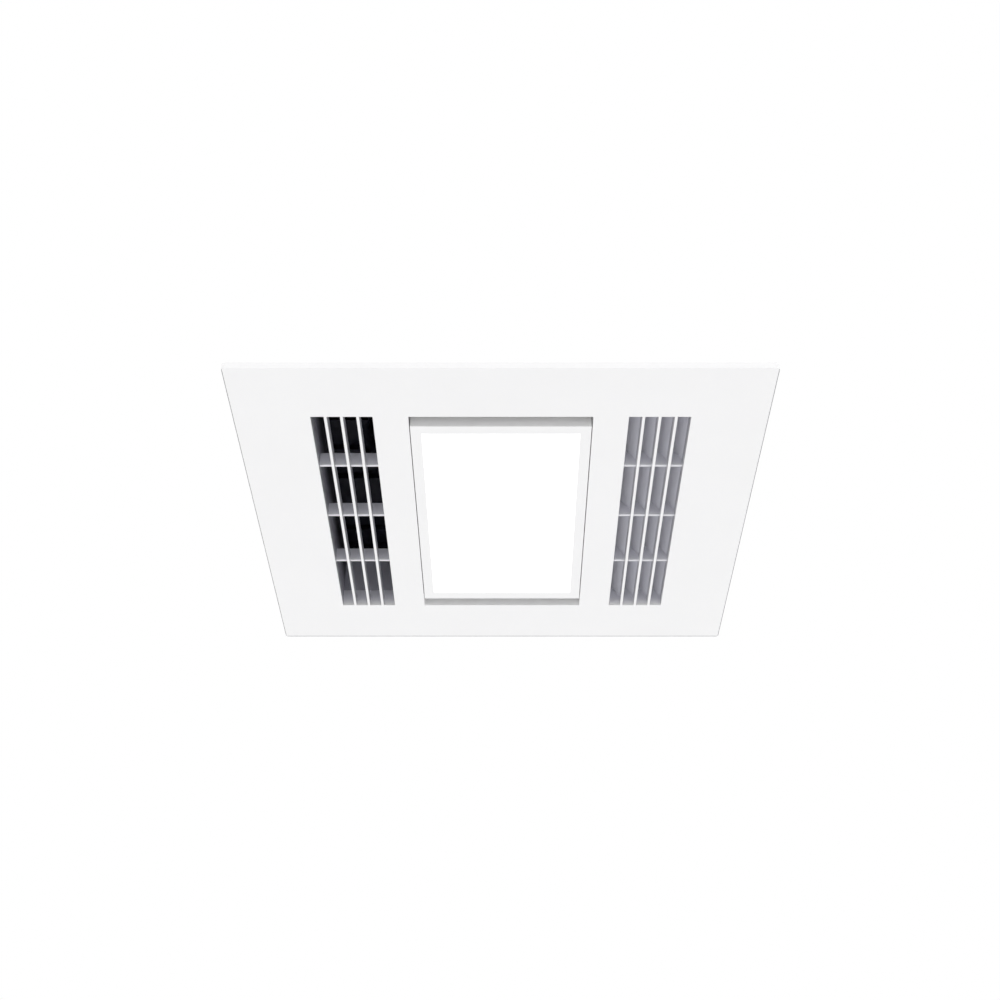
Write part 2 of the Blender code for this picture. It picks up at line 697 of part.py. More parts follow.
def make_fascia(made_of, parent):
    half = FASCIA_SIDE / 2
    inner = half - RIM_WALL
    plate_top = FACE_Z + FASCIA_PLATE
    end = WINDOW_HALF + UPSTAND_WALL
    shell = prism(round_rectangle(-half, half, -half, half, FASCIA_CORNER), "Z", FACE_Z, 0)
    hollow = box(-inner, inner, -inner, inner, plate_top, OVERRUN)
    intake = box(-GRILLE_FAR_X - UPSTAND_WALL, UPSTAND_WALL - GRILLE_NEAR_X, -end, end,
                 FACE_Z + BITE, FACE_Z + CROSS_TOP)
    light_outer = LIGHT_WINDOW_WIDTH / 2 + UPSTAND_WALL
    light = box(-light_outer, light_outer, -end, end, FACE_Z + BITE, FACE_Z + LIGHT_UPSTAND)
    light_half = LIGHT_WINDOW_WIDTH / 2
    light_window = box(-light_half, light_half, -WINDOW_HALF, WINDOW_HALF,
                       FACE_Z - OVERRUN, FACE_Z + LIGHT_UPSTAND + OVERRUN)
    open_tops = [
        box(-GRILLE_FAR_X, -GRILLE_NEAR_X, near, far,
            FACE_Z + BAR_HEIGHT, FACE_Z + CROSS_TOP + OVERRUN)
        for near, far in cell_spans()
    ]
    posts = [fascia_post(side, end) for side in (-1, 1) for end in (-1, 1)]
    bosses = [
        prism(circle(point, LIGHT_BOSS_RADIUS, SMALL_ROUND), "Z",
              FACE_Z + BITE, FACE_Z + LIGHT_UPSTAND)
        for point in light_screw_points()
    ]
    bores = [
        prism(circle(point, LIGHT_SCREW_RADIUS + HOLE_GAP, SMALL_ROUND), "Z",
              plate_top + SEAT_GAP, FACE_Z + LIGHT_UPSTAND + OVERRUN)
        for point in light_screw_points()
    ]
    solid("fascia", made_of, parent, shell, cut(hollow),
          join(intake, light, outlet_block()), join(*posts, *bosses), cut(light_window, *bores),
          cut(*slots(-1), *slots(1)), cut(*cells(-1, BAR_HEIGHT + BITE), *cells(1, BAR_HEIGHT)),
          cut(*open_tops, *vane_channels()), cut(*outlet_pockets()))


def make_seal(made_of, parent):
    outer = HOUSING_SIDE / 2 + FLANGE_WIDTH - SEAL_INSET
    inner = outer - SEAL_WIDTH
    low = FACE_Z + FASCIA_PLATE + SEAT_GAP
    high = -SHEET - SEAT_GAP
    solid("fascia_seal", made_of, parent, box(-outer, outer, -outer, outer, low, high),
          cut(box(-inner, inner, -inner, inner, low - OVERRUN, high + OVERRUN)))


# Light


def make_bezel(made_of, parent):
    x = LIGHT_WIDTH / 2
    y = LIGHT_LENGTH / 2
    pocket = box(-x + BEZEL_WALL, x - BEZEL_WALL, -y + BEZEL_WALL, y - BEZEL_WALL,
                 FACE_Z + BEZEL_LIP, FACE_Z + LIGHT_UPSTAND + OVERRUN)
    window = box(-LIT_WIDTH / 2, LIT_WIDTH / 2, -LIT_LENGTH / 2, LIT_LENGTH / 2,
                 FACE_Z - OVERRUN, FACE_Z + BEZEL_LIP + BITE)
    solid("led_bezel", made_of, parent, box(-x, x, -y, y, FACE_Z, FACE_Z + LIGHT_UPSTAND),
          cut(pocket), cut(window))


def centred_sheet(width, length, low, high):
    return box(-width / 2, width / 2, -length / 2, length / 2, low, high)


def make_optics(diffuser, guide, reflector, parent):
    """The stepped diffuser, the clear light guide over it and the white sheet over that."""
    step_low = FACE_Z + DIFFUSER_RECESS
    flange_low = step_low + DIFFUSER_STEP
    flange_width = LIT_WIDTH + 2 * DIFFUSER_FLANGE
    flange_length = LIT_LENGTH + 2 * DIFFUSER_FLANGE
    flange_high = flange_low + DIFFUSER_SHEET
    raised = centred_sheet(LIT_WIDTH - 2 * SEAT_GAP, LIT_LENGTH - 2 * SEAT_GAP,
                           step_low, flange_low + BITE)
    solid("led_diffuser", diffuser, parent,
          centred_sheet(flange_width, flange_length, flange_low, flange_high), join(raised))
    guide_low = flange_high + SEAT_GAP
    guide_high = guide_low + GUIDE_SHEET
    width = flange_width - 2 * GUIDE_INSET
    solid("light_guide", guide, parent, centred_sheet(width, LIT_LENGTH, guide_low, guide_high))
    low = guide_high + SEAT_GAP
    solid("reflector_sheet", reflector, parent,
          centred_sheet(width, LIT_LENGTH, low, low + REFLECTOR_SHEET))


def make_light_strip(name, made_of, parent, side):
    """A board with a row of light chips that face the light guide's edge."""
    edge = LIT_WIDTH / 2 + DIFFUSER_FLANGE - GUIDE_INSET + SEAT_GAP
    board = edge + CHIP_DEPTH
    low = FACE_Z + DIFFUSER_RECESS + DIFFUSER_STEP + DIFFUSER_SHEET + SEAT_GAP
    middle = low + STRIP_HEIGHT / 2
    pitch = STRIP_LENGTH / CHIP_COUNT
    chips = []
    for i in range(CHIP_COUNT):
        y = (i - (CHIP_COUNT - 1) / 2) * pitch
        chips.append(box(min(side * edge, side * (board + STRIP_BOARD / 2)),
                         max(side * edge, side * (board + STRIP_BOARD / 2)),
                         y - CHIP_LENGTH / 2, y + CHIP_LENGTH / 2,
                         middle - CHIP_HEIGHT / 2, middle + CHIP_HEIGHT / 2))
    shape = box(min(side * board, side * (board + STRIP_BOARD)),
                max(side * board, side * (board + STRIP_BOARD)),
                -STRIP_LENGTH / 2, STRIP_LENGTH / 2, low, low + STRIP_HEIGHT)
    solid(name, made_of, parent, shape, join(*chips))


def make_back_plate(made_of, parent):
    """A pressed pan that closes the light, with four tabs that screw down on the fascia's bosses."""
    x = LIGHT_WIDTH / 2 - SEAT_GAP
    y = LIGHT_LENGTH / 2 - SEAT_GAP
    low = LIGHT_BACK_Z
    high = low + BACK_SHEET
    pan_low = (FACE_Z + DIFFUSER_RECESS + DIFFUSER_STEP + DIFFUSER_SHEET + GUIDE_SHEET
               + REFLECTOR_SHEET + 3 * SEAT_GAP)
    pan_x = x - PAN_INSET
    pan_y = y - PAN_INSET
    tab_x = LIGHT_WIDTH / 2 + TAB_REACH
    tabs = [
        box(-tab_x, tab_x, end * TAB_Y - TAB_WIDTH / 2, end * TAB_Y + TAB_WIDTH / 2, low, high)
        for end in (-1, 1)
    ]
    holes = [
        prism(circle(point, LIGHT_SCREW_RADIUS + HOLE_GAP, SMALL_ROUND), "Z",
              low - OVERRUN, high + OVERRUN)
        for point in light_screw_points()
    ]
    pan = box(-pan_x, pan_x, -pan_y, pan_y, pan_low, low + BACK_SHEET / 2)
    hollow = box(-pan_x + BACK_SHEET, pan_x - BACK_SHEET, -pan_y + BACK_SHEET, pan_y - BACK_SHEET,
                 pan_low + BACK_SHEET, high + OVERRUN)
    solid("led_back_plate", made_of, parent, box(-x, x, -y, y, low, high),
          join(*tabs), join(pan), cut(hollow), cut(*holes))
    return pan_low + BACK_SHEET


def make_light_screws(made_of, parent):
    for i, (x, y) in enumerate(light_screw_points()):
        point = (x, y, LIGHT_BACK_Z + BACK_SHEET + SEAT_GAP)
        screw(f"led_screw_{i + 1}", made_of, parent, "Z", point,
              LIGHT_SCREW_HEAD, LIGHT_SCREW_RADIUS, LIGHT_SCREW_LENGTH)


def socket_middle_x():
    return PARTITION_X + SHEET + SEAT_GAP + SOCKET_SIZE[0] / 2


def plug_blades(low, high, clearance):
    """The plug's two contact blades, or with a clearance the slots that take them."""
    x = socket_middle_x()
    blades = []
    for side in (-1, 1):
        y = SOCKET_Y + side * BLADE_SPACING / 2
        blades.append(box(x - BLADE_SIZE[0] / 2 - clearance, x + BLADE_SIZE[0] / 2 + clearance,
                          y - BLADE_SIZE[1] / 2 - clearance, y + BLADE_SIZE[1] / 2 + clearance,
                          low, high))
    return blades


def make_plug(made_of, parent, seat):
    x = socket_middle_x()
    half_x = SOCKET_SIZE[0] / 2 - PLUG_INSET
    half_y = SOCKET_SIZE[1] / 2 - PLUG_INSET
    high = SOCKET_LOW - SEAT_GAP
    shape = box(x - half_x, x + half_x, SOCKET_Y - half_y, SOCKET_Y + half_y,
                seat + SEAT_GAP, high)
    solid("led_plug", made_of, parent, shape,
          join(*plug_blades(high - BITE, high + BLADE_SIZE[2], 0)))


def make_socket(made_of, parent):
    x = socket_middle_x()
    half_x = SOCKET_SIZE[0] / 2
    half_y = SOCKET_SIZE[1] / 2
    high = SOCKET_LOW + SOCKET_SIZE[2]
    depth = SOCKET_LOW + BLADE_SIZE[2] + SEAT_GAP
    solid("led_socket", made_of, parent,
          box(x - half_x, x + half_x, SOCKET_Y - half_y, SOCKET_Y + half_y, SOCKET_LOW, high),
          cut(*plug_blades(SOCKET_LOW - OVERRUN, depth, SEAT_GAP)))


# Housing


def make_housing(made_of, parent):
    half = HOUSING_SIDE / 2
    flange = half + FLANGE_WIDTH
    hollow = box(-WALL_INNER, WALL_INNER, -WALL_INNER, WALL_INNER,
                 -SHEET - OVERRUN, ROOF_UNDERSIDE)
    line = half + FLANGE_WIDTH / 2
    spots = [(a * line, b * FLANGE_HOLE_STEP) for a in (-1, 1) for b in (-1, 1)]
    spots += [(b, a) for a, b in spots]
    holes = [
        prism(circle(spot, FLANGE_HOLE_RADIUS, SMALL_ROUND), "Z", -SHEET - OVERRUN, OVERRUN)
        for spot in spots
    ]
    outlet = box(OUTLET_MIDDLE_X - OUTLET_WIDTH / 2, OUTLET_MIDDLE_X + OUTLET_WIDTH / 2,
                 WALL_INNER - OVERRUN, half + OVERRUN, SCROLL_LOW, SCROLL_HIGH)
    wire_ways = [
        prism(circle((x, LEAD_HOLE_Y), LEAD_HOLE_RADIUS, SMALL_ROUND), "Z",
              ROOF_UNDERSIDE - OVERRUN, HOUSING_HEIGHT + OVERRUN)
        for x in (EXHAUST_LEAD_X, HEATER_LEAD_X)
    ]
    earth = prism(circle((EARTH_X, TERMINAL_Y), EARTH_SCREW_RADIUS + HOLE_GAP, SMALL_ROUND), "Z",
                  ROOF_UNDERSIDE - OVERRUN, HOUSING_HEIGHT + OVERRUN)
    duct_holes = [
        prism(circle(point, DUCT_SCREW_RADIUS + HOLE_GAP, SMALL_ROUND), "Y",
              WALL_INNER - OVERRUN, half + OVERRUN)
        for point in duct_screw_points()
    ]
    solid("housing", made_of, parent, box(-flange, flange, -flange, flange, -SHEET, 0),
          join(box(-half, half, -half, half, -SHEET / 2, HOUSING_HEIGHT)), cut(hollow),
          cut(outlet, earth, *duct_holes, *wire_ways, *holes))


def make_partition(made_of, parent):
    x = PARTITION_X
    high = ROOF_UNDERSIDE - SEAT_GAP
    outline = [
        (x, PARTITION_FOOT),
        (x + SHEET, PARTITION_FOOT),
        (x + SHEET, high - SHEET),
        (x + PARTITION_FLANGE, high - SHEET),
        (x + PARTITION_FLANGE, high),
        (x, high),
    ]
    opening = box(x - OVERRUN, x + SHEET + OVERRUN, -RETURN_WIDTH / 2, RETURN_WIDTH / 2,
                  RETURN_LOW, RETURN_HIGH)
    solid("partition", made_of, parent, prism(outline, "Y", -FIT_INNER, FIT_INNER), cut(opening))


def make_liner(made_of, parent):
    """Three walls that carry on the intake grille's edges, with a flange out to the housing."""
    left = -GRILLE_FAR_X
    right = -GRILLE_NEAR_X + LINER_WALL

    def open_frame(outer_x, outer_y, low, high):
        outline = [
            (outer_x, -outer_y), (right, -outer_y), (right, -WINDOW_HALF), (left, -WINDOW_HALF),
            (left, WINDOW_HALF), (right, WINDOW_HALF), (right, outer_y), (outer_x, outer_y),
        ]
        return prism(outline, "Z", low, high)

    walls = open_frame(left - LINER_WALL, WINDOW_HALF + LINER_WALL,
                       FACE_Z + CROSS_TOP + SEAT_GAP, LINER_TOP)
    flange = open_frame(-FIT_INNER, FIT_INNER, LINER_TOP - LINER_WALL, LINER_TOP)
    solid("intake_liner", made_of, parent, walls, join(flange))


def make_catches(made_of, parent):
    """Bent spring strips on the housing's side walls that press on the fascia's posts."""
    wall = FIT_INNER - CATCH_STRIP
    nose = POST_X + POST_THICKNESS / 2 + CATCH_GAP
    path = [
        (wall, CATCH_TOP),
        (wall, CATCH_SHOULDER),
        (nose, CATCH_NOSE + CATCH_STRIP),
        (nose, CATCH_NOSE - CATCH_STRIP),
        (wall, CATCH_FOOT),
    ]
    outline = strip(path, CATCH_STRIP)
    number = 0
    for side in (-1, 1):
        for end in (-1, 1):
            number += 1
            middle = end * POST_Y
            points = [(side * x, z) for x, z in outline]
            shape = prism(points, "Y", middle - CATCH_WIDTH / 2, middle + CATCH_WIDTH / 2)
            solid(f"catch_clip_{number}", made_of, parent, shape)


# Exhaust blower


def bell_forms():
    """The solid that the bell mouth is made from, and the rounded hollow through it."""
    turn = (INLET_RADIUS + BELL_RADIUS, BASE_UNDERSIDE + BELL_RADIUS)
    outer = arc(turn, BELL_RADIUS - BELL_WALL, 1.5 * math.pi, math.pi, 3)
    inner = arc(turn, BELL_RADIUS, 1.5 * math.pi, math.pi, 4)
    low = BASE_UNDERSIDE + BELL_WALL / 2
    form = [(0, low), (turn[0], low), *outer, (0, turn[1])]
    under = BASE_UNDERSIDE - PAD_DEPTH - OVERRUN
    over = turn[1] + OVERRUN
    hollow = [(0, under), (turn[0], under), *inner, (INLET_RADIUS, over), (0, over)]
    centre = (BLOWER_X, BLOWER_Y, 0)
    return turned(form, "Z", centre), turned(hollow, "Z", centre)


def base_pads():
    """Raised pads and ribs on the underside, over the intake grille."""
    low = BASE_UNDERSIDE - PAD_DEPTH
    high = BASE_UNDERSIDE + BASE_PLATE / 2
    pads = [
        box(-GRILLE_FAR_X, -GRILLE_NEAR_X, WINDOW_HALF * near, WINDOW_HALF * far, low, high)
        for near, far in PAD_SHARES
    ]
    for rib_share in RIB_SHARES:
        y = WINDOW_HALF * rib_share
        pads.append(box(-GRILLE_FAR_X, -GRILLE_NEAR_X, y - RIB_WIDTH / 2, y + RIB_WIDTH / 2,
                        low, high))
    return pads


def make_base(made_of, parent):
    light_way = prism(circle((LIGHT_LEAD_X, DRIVER_Y), LEAD_HOLE_RADIUS, SMALL_ROUND), "Z",
                      BASE_UNDERSIDE - OVERRUN, BASE_TOP + OVERRUN)
    plate = box(-FIT_INNER, PARTITION_X - SEAT_GAP, -FIT_INNER, FIT_INNER,
                BASE_UNDERSIDE, BASE_TOP)
    form, hollow = bell_forms()
    solid("blower_base", made_of, parent, plate, join(*base_pads()), join(form),
          cut(hollow, light_way))


def make_scroll(made_of, parent):
    """The spiral wall, from the outlet's right side round the impeller to its left side."""
    steps = 28
    path = [(OUTLET_LEFT + OUTLET_WIDTH, FIT_INNER)]
    for i in range(steps + 1):
        angle = SCROLL_START - SCROLL_SWEEP * i / steps
        radius = scroll_radius(angle)
        path.append((BLOWER_X + radius * math.cos(angle), BLOWER_Y + radius * math.sin(angle)))
    path.append((OUTLET_LEFT, FIT_INNER))
    solid("blower_scroll", made_of, parent,
          prism(strip(path, SCROLL_WALL), "Z", SCROLL_LOW, SCROLL_HIGH), smooth=True)


def make_cover(made_of, parent):
    plate = box(-FIT_INNER, PARTITION_X - SEAT_GAP, COVER_EDGE_Y, FIT_INNER,
                COVER_LOW, COVER_HIGH)
    hole = prism(circle((BLOWER_X, BLOWER_Y), MOTOR_BOSS_RADIUS + MOTOR_HOLE_GAP), "Z",
                 COVER_LOW - OVERRUN, COVER_HIGH + OVERRUN)
    solid("blower_cover", made_of, parent, plate, cut(hole))


def leaning_blade(inner, outer, angle, lean, thickness):
    """A curved blade's outline between two radii, about the origin."""
    steps = 2
    front = []
    back = []
    for i in range(steps + 1):
        share = i / steps
        radius = inner + (outer - inner) * share
        turn = angle + lean * share * share * (outer - inner) / outer
        half = thickness / radius / 2
        front.append((radius * math.cos(turn - half), radius * math.sin(turn - half)))
        back.append((radius * math.cos(turn + half), radius * math.sin(turn + half)))
    return front + back[::-1]


def make_impeller(made_of, parent):
    low = IMPELLER_LOW
    high = IMPELLER_HIGH
    sheet = IMPELLER_RING
    inner = IMPELLER_RADIUS - BLADE_DEPTH
    bore = SHAFT_RADIUS + HOLE_GAP
    centre = (BLOWER_X, BLOWER_Y, 0)
    profile = [
        (bore, HUB_LOW),
        (HUB_RADIUS, HUB_LOW),
        (HUB_RADIUS + sheet, high - 3 * sheet),
        (HUB_CONE_RADIUS, high - sheet),
        (IMPELLER_RADIUS, high - sheet),
        (IMPELLER_RADIUS, high),
        (HUB_CONE_RADIUS, high),
        (bore, high - sheet),
    ]
    ring = [
        (inner + sheet, low),
        (IMPELLER_RADIUS, low),
        (IMPELLER_RADIUS, low + sheet),
        (inner + sheet, low + sheet),
    ]
    blades = []
    for i in range(BLADE_COUNT):
        outline = leaning_blade(inner, IMPELLER_RADIUS - sheet / 2, math.tau * i / BLADE_COUNT,
                                -BLADE_LEAN * 3, BLADE_THICKNESS)
        points = [(BLOWER_X + x, BLOWER_Y + y) for x, y in outline]
        blades.append(prism(points, "Z", low + sheet / 2, high - sheet / 2))
    solid("exhaust_impeller", made_of, parent, turned(profile, "Z", centre),
          join(*blades), join(turned(ring, "Z", centre)), smooth=True)


def make_shaft(made_of, parent):
    edge = SHAFT_RADIUS / 6
    profile = [
        (0, SHAFT_LOW),
        (SHAFT_RADIUS - edge, SHAFT_LOW),
        (SHAFT_RADIUS, SHAFT_LOW + edge),
        (SHAFT_RADIUS, SHAFT_HIGH),
        (0, SHAFT_HIGH),
    ]
    solid("exhaust_shaft", made_of, parent,
          turned(profile, "Z", (BLOWER_X, BLOWER_Y, 0), SMALL_ROUND), smooth=True)


def make_exhaust_motor(made_of, parent):
    low = MOTOR_LOW
    high = MOTOR_HIGH
    flange = MOTOR_RADIUS + MOTOR_FLANGE_WIDTH
    bore = SHAFT_RADIUS + RUN_GAP
    profile = [
        (bore, MOTOR_BOSS_LOW),
        (MOTOR_BOSS_RADIUS, MOTOR_BOSS_LOW),
        (MOTOR_BOSS_RADIUS, low),
        (flange, low),
        (flange, low + MOTOR_FLANGE),
        (MOTOR_RADIUS, low + MOTOR_FLANGE),
        (MOTOR_RADIUS, high - MOTOR_EDGE),
        (MOTOR_RADIUS - MOTOR_EDGE / 3, high - MOTOR_EDGE / 3),
        (MOTOR_RADIUS - MOTOR_EDGE, high),
        (MOTOR_CAP_RADIUS, high),
        (MOTOR_CAP_RADIUS, high + MOTOR_CAP_HEIGHT),
        (0, high + MOTOR_CAP_HEIGHT),
        (0, SHAFT_HIGH + SEAT_GAP),
        (bore, SHAFT_HIGH + SEAT_GAP),
    ]
    solid("exhaust_motor", made_of, parent,
          turned(profile, "Z", (BLOWER_X, BLOWER_Y, 0)), smooth=True)


# Duct adapter


def duct_ring(y, share, grow):
    """A cross-section between the scroll's oblong outlet, at share 0, and the round collar, at 1."""
    power = 2 / (8 + (2 - 8) * share)
    half_x = OUTLET_WIDTH / 2 + (DUCT_RADIUS - OUTLET_WIDTH / 2) * share + grow
    outlet_half_z = (SCROLL_HIGH - SCROLL_LOW) / 2
    half_z = outlet_half_z + (DUCT_RADIUS - outlet_half_z) * share + grow
    points = []
    for i in range(ROUND):
        angle = math.tau * (i + 0.5) / ROUND
        x = math.copysign(abs(math.cos(angle)) ** power, math.cos(angle))
        z = math.copysign(abs(math.sin(angle)) ** power, math.sin(angle))
        points.append((OUTLET_MIDDLE_X + half_x * x, y, OUTLET_MIDDLE_Z + half_z * z))
    return points


def duct_form(start, end, grow):
    funnel = DUCT_START_Y + DUCT_FLANGE
    middle = (funnel + FUNNEL_END_Y) / 2
    rings = [(start, 0), (funnel, 0), (middle, 0.6), (FUNNEL_END_Y, 1), (end, 1)]
    return loft([duct_ring(y, share, grow) for y, share in rings])


def make_duct_adapter(made_of, parent):
    half_x = OUTLET_WIDTH / 2 + DUCT_FLANGE_MARGIN
    half_z = SCROLL_HEIGHT / 2 + DUCT_FLANGE_MARGIN
    outline = round_rectangle(OUTLET_MIDDLE_X - half_x, OUTLET_MIDDLE_X + half_x,
                              OUTLET_MIDDLE_Z - half_z, OUTLET_MIDDLE_Z + half_z,
                              DUCT_SCREW_INSET)
    flange_end = DUCT_START_Y + DUCT_FLANGE
    holes = [
        prism(circle(point, DUCT_SCREW_RADIUS + HOLE_GAP, SMALL_ROUND), "Y",
              DUCT_START_Y - OVERRUN, flange_end + OVERRUN)
        for point in duct_screw_points()
    ]
    pin_way = turned([(0, -FASCIA_SIDE), (PIN_RADIUS + HOLE_GAP, -FASCIA_SIDE),
                      (PIN_RADIUS + HOLE_GAP, FASCIA_SIDE), (0, FASCIA_SIDE)],
                     "X", (0, FLAP_Y, FLAP_AXIS_Z), SMALL_ROUND)
    stop_face = FLAP_Y - FLAP_SHEET / 2 - SEAT_GAP
    stop_low = OUTLET_MIDDLE_Z - DUCT_RADIUS - BITE
    stop = box(OUTLET_MIDDLE_X - STOP_WIDTH / 2, OUTLET_MIDDLE_X + STOP_WIDTH / 2,
               stop_face - STOP_DEPTH, stop_face, stop_low, stop_low + STOP_HEIGHT + BITE)
    solid("duct_adapter", made_of, parent, prism(outline, "Y", DUCT_START_Y, flange_end),
          join(duct_form(DUCT_START_Y + DUCT_FLANGE / 2, DUCT_END_Y, DUCT_WALL)),
          cut(duct_form(DUCT_START_Y - OVERRUN, DUCT_END_Y + OVERRUN, 0)),
          cut(pin_way, *holes), join(stop), smooth=True)


def make_duct_screws(made_of, parent):
    y = DUCT_START_Y + DUCT_FLANGE + SEAT_GAP
    for i, (x, z) in enumerate(duct_screw_points()):
        screw(f"duct_screw_{i + 1}", made_of, parent, "Y", (x, y, z),
              DUCT_SCREW_HEAD, DUCT_SCREW_RADIUS, DUCT_SCREW_LENGTH)


def rod(axis, centre, radius, length, sides=SMALL_ROUND):
    half = length / 2
    return turned([(0, -half), (radius, -half), (radius, half), (0, half)], axis, centre, sides)


def make_flap(made_of, parent):
    axis = (OUTLET_MIDDLE_X, FLAP_Y, FLAP_AXIS_Z)
    disc = prism(circle((OUTLET_MIDDLE_X, OUTLET_MIDDLE_Z), FLAP_RADIUS), "Y",
                 FLAP_Y - FLAP_SHEET / 2, FLAP_Y + FLAP_SHEET / 2)
    barrel = rod("X", axis, FLAP_BARREL_RADIUS,
                 2 * (FLAP_RADIUS - FLAP_BARREL_INSET))
    bore = rod("X", axis, PIN_RADIUS + RUN_GAP, FLAP_RADIUS * 2 + OVERRUN)
    solid("damper_flap", made_of, parent, disc, join(barrel), cut(bore), smooth=True)


def make_pin(made_of, parent):
    axis = (OUTLET_MIDDLE_X, FLAP_Y, FLAP_AXIS_Z)
    solid("damper_pin", made_of, parent,
          rod("X", axis, PIN_RADIUS, 2 * (DUCT_RADIUS + PIN_REACH)), smooth=True)


# Heater


def make_outlet_duct(made_of, parent):
    """A funnel from the heater down to the outlet grille, with a flange round its top."""
    low = FACE_Z + OUTLET_BOX_TOP + SEAT_GAP
    run = VANE_RISE / math.tan(VANE_ANGLE)

    def ring(z, share, grow):
        left = GRILLE_NEAR_X - run
        left += (DUCT_TOP_LOW_X - left) * share - grow
        half = WINDOW_HALF + (END_PLATE_Y - DUCT_TOP_INSET - WINDOW_HALF) * share + grow
        right = GRILLE_FAR_X + grow
        return [(left, -half, z), (right, -half, z), (right, half, z), (left, half, z)]

    slope = OVERRUN / (DUCT_TOP - low)
    hollow = loft([ring(low - OVERRUN, -slope, 0), ring(DUCT_TOP + OVERRUN, 1 + slope, 0)])
    half_y = END_PLATE_Y + SHEET + HEATER_FLANGE
    flange = box(DUCT_TOP_LOW_X - HEATER_FLANGE, GRILLE_FAR_X + HEATER_FLANGE,
                 -half_y, half_y, DUCT_TOP - SHEET, DUCT_TOP)
    solid("outlet_duct", made_of, parent,
          loft([ring(low, 0, SHEET), ring(DUCT_TOP - SHEET / 2, 1, SHEET)]),
          join(flange), cut(hollow))


def ptc_span():
    """The heater block's low and high X."""
    return DUCT_TOP_LOW_X - SHEET, GRILLE_FAR_X + SHEET / 2


def make_ptc_frame(made_of, parent):
    low_x, high_x = ptc_span()
    half_y = END_PLATE_Y - SEAT_GAP
    opening = box(low_x + PTC_FRAME_WALL, high_x - PTC_FRAME_WALL, -half_y + PTC_END_WALL,
                  half_y - PTC_END_WALL, PTC_LOW - OVERRUN, PTC_HIGH + OVERRUN)
    solid("ptc_frame", made_of, parent, box(low_x, high_x, -half_y, half_y, PTC_LOW, PTC_HIGH),
          cut(opening))


def ptc_columns():
    """Low and high X of the first fins, the heating bar and the second fins."""
    low_x, high_x = ptc_span()
    low = low_x + PTC_FRAME_WALL + SEAT_GAP
    high = high_x - PTC_FRAME_WALL - SEAT_GAP
    bar_low = (low + high - PTC_BAR_WIDTH) / 2
    bar_high = bar_low + PTC_BAR_WIDTH
    return (low, bar_low - SEAT_GAP), (bar_low, bar_high), (bar_high + SEAT_GAP, high)


def make_ptc_bar(made_of, parent):
    low, high = ptc_columns()[1]
    half_y = END_PLATE_Y - PTC_END_WALL - 2 * SEAT_GAP
    solid("ptc_bar", made_of, parent,
          box(low, high, -half_y, half_y, PTC_LOW + FIN_INSET, PTC_HIGH - FIN_INSET))


def make_ptc_fins(name, made_of, parent, span):
    """A zigzag fin ribbon that runs along the heating bar."""
    low, high = span
    half_y = END_PLATE_Y - PTC_END_WALL - 2 * SEAT_GAP
    pitch = 2 * half_y / FIN_COUNT
    across = FIN_SHEET * math.hypot(high - low, pitch) / pitch
    near_side = [
        (high - across if i % 2 else low, -half_y + i * pitch) for i in range(FIN_COUNT + 1)
    ]
    far_side = [(x + across, y) for x, y in near_side[::-1]]
    solid(name, made_of, parent,
          prism(near_side + far_side, "Z", PTC_LOW + FIN_INSET, PTC_HIGH - FIN_INSET))


def make_cutout(made_of, parent):
    """The thermal cut-out, a flanged button on the heater frame's side."""
    face = ptc_span()[0] - SEAT_GAP
    middle = (0, CUTOUT_Y, (PTC_LOW + PTC_HIGH) / 2)
    profile = [
        (0, face),
        (CUTOUT_RADIUS * 1.3, face),
        (CUTOUT_RADIUS * 1.3, face - CUTOUT_FLANGE),
        (CUTOUT_RADIUS, face - CUTOUT_FLANGE),
        (CUTOUT_RADIUS, face - CUTOUT_HEIGHT),
        (0, face - CUTOUT_HEIGHT),
    ]
    solid("thermal_cutout", made_of, parent, turned(profile, "X", middle, 20), smooth=True)


def make_heater_scroll(made_of, parent):
    """The curved sheet behind and over the cross-flow wheel."""
    foot_x = ptc_span()[1] + SEAT_GAP
    steps = 12
    path = [(foot_x, PTC_LOW + HEATER_SCROLL_RISE), (foot_x, PTC_HIGH + HEATER_THROAT_RISE)]
    for i in range(steps + 1):
        angle = HEATER_SCROLL_START + (HEATER_SCROLL_END - HEATER_SCROLL_START) * i / steps
        radius = heater_scroll_radius(angle)
        path.append((HEATER_X + radius * math.cos(angle), HEATER_Z + radius * math.sin(angle)))
    half_y = END_PLATE_Y - SEAT_GAP
    outline = strip(path[::-1], SHEET)
    solid("heater_scroll", made_of, parent, prism(outline, "Y", -half_y, half_y), smooth=True)


def make_heater_tongue(made_of, parent):
    """The bent sheet that closes the wheel's near side and guides air down to the heater."""
    foot_x = ptc_span()[0] - SEAT_GAP
    foot_z = PTC_LOW + HEATER_SCROLL_RISE
    reach = heater_scroll_radius(HEATER_SCROLL_END)
    path = [(foot_x, foot_z), (foot_x, HEATER_Z - reach)]
    path += [(HEATER_X + reach * x, HEATER_Z + reach * z) for x, z in TONGUE_SHARES]
    half_y = END_PLATE_Y - SEAT_GAP
    outline = strip(path, SHEET)
    slot = box(foot_x - PTC_FRAME_WALL * 3, foot_x + PTC_FRAME_WALL,
               CUTOUT_Y - CUTOUT_RADIUS * 1.5, CUTOUT_Y + CUTOUT_RADIUS * 1.5,
               foot_z - OVERRUN, PTC_HIGH + OVERRUN)
    solid("heater_tongue", made_of, parent, prism(outline, "Y", -half_y, half_y), cut(slot))


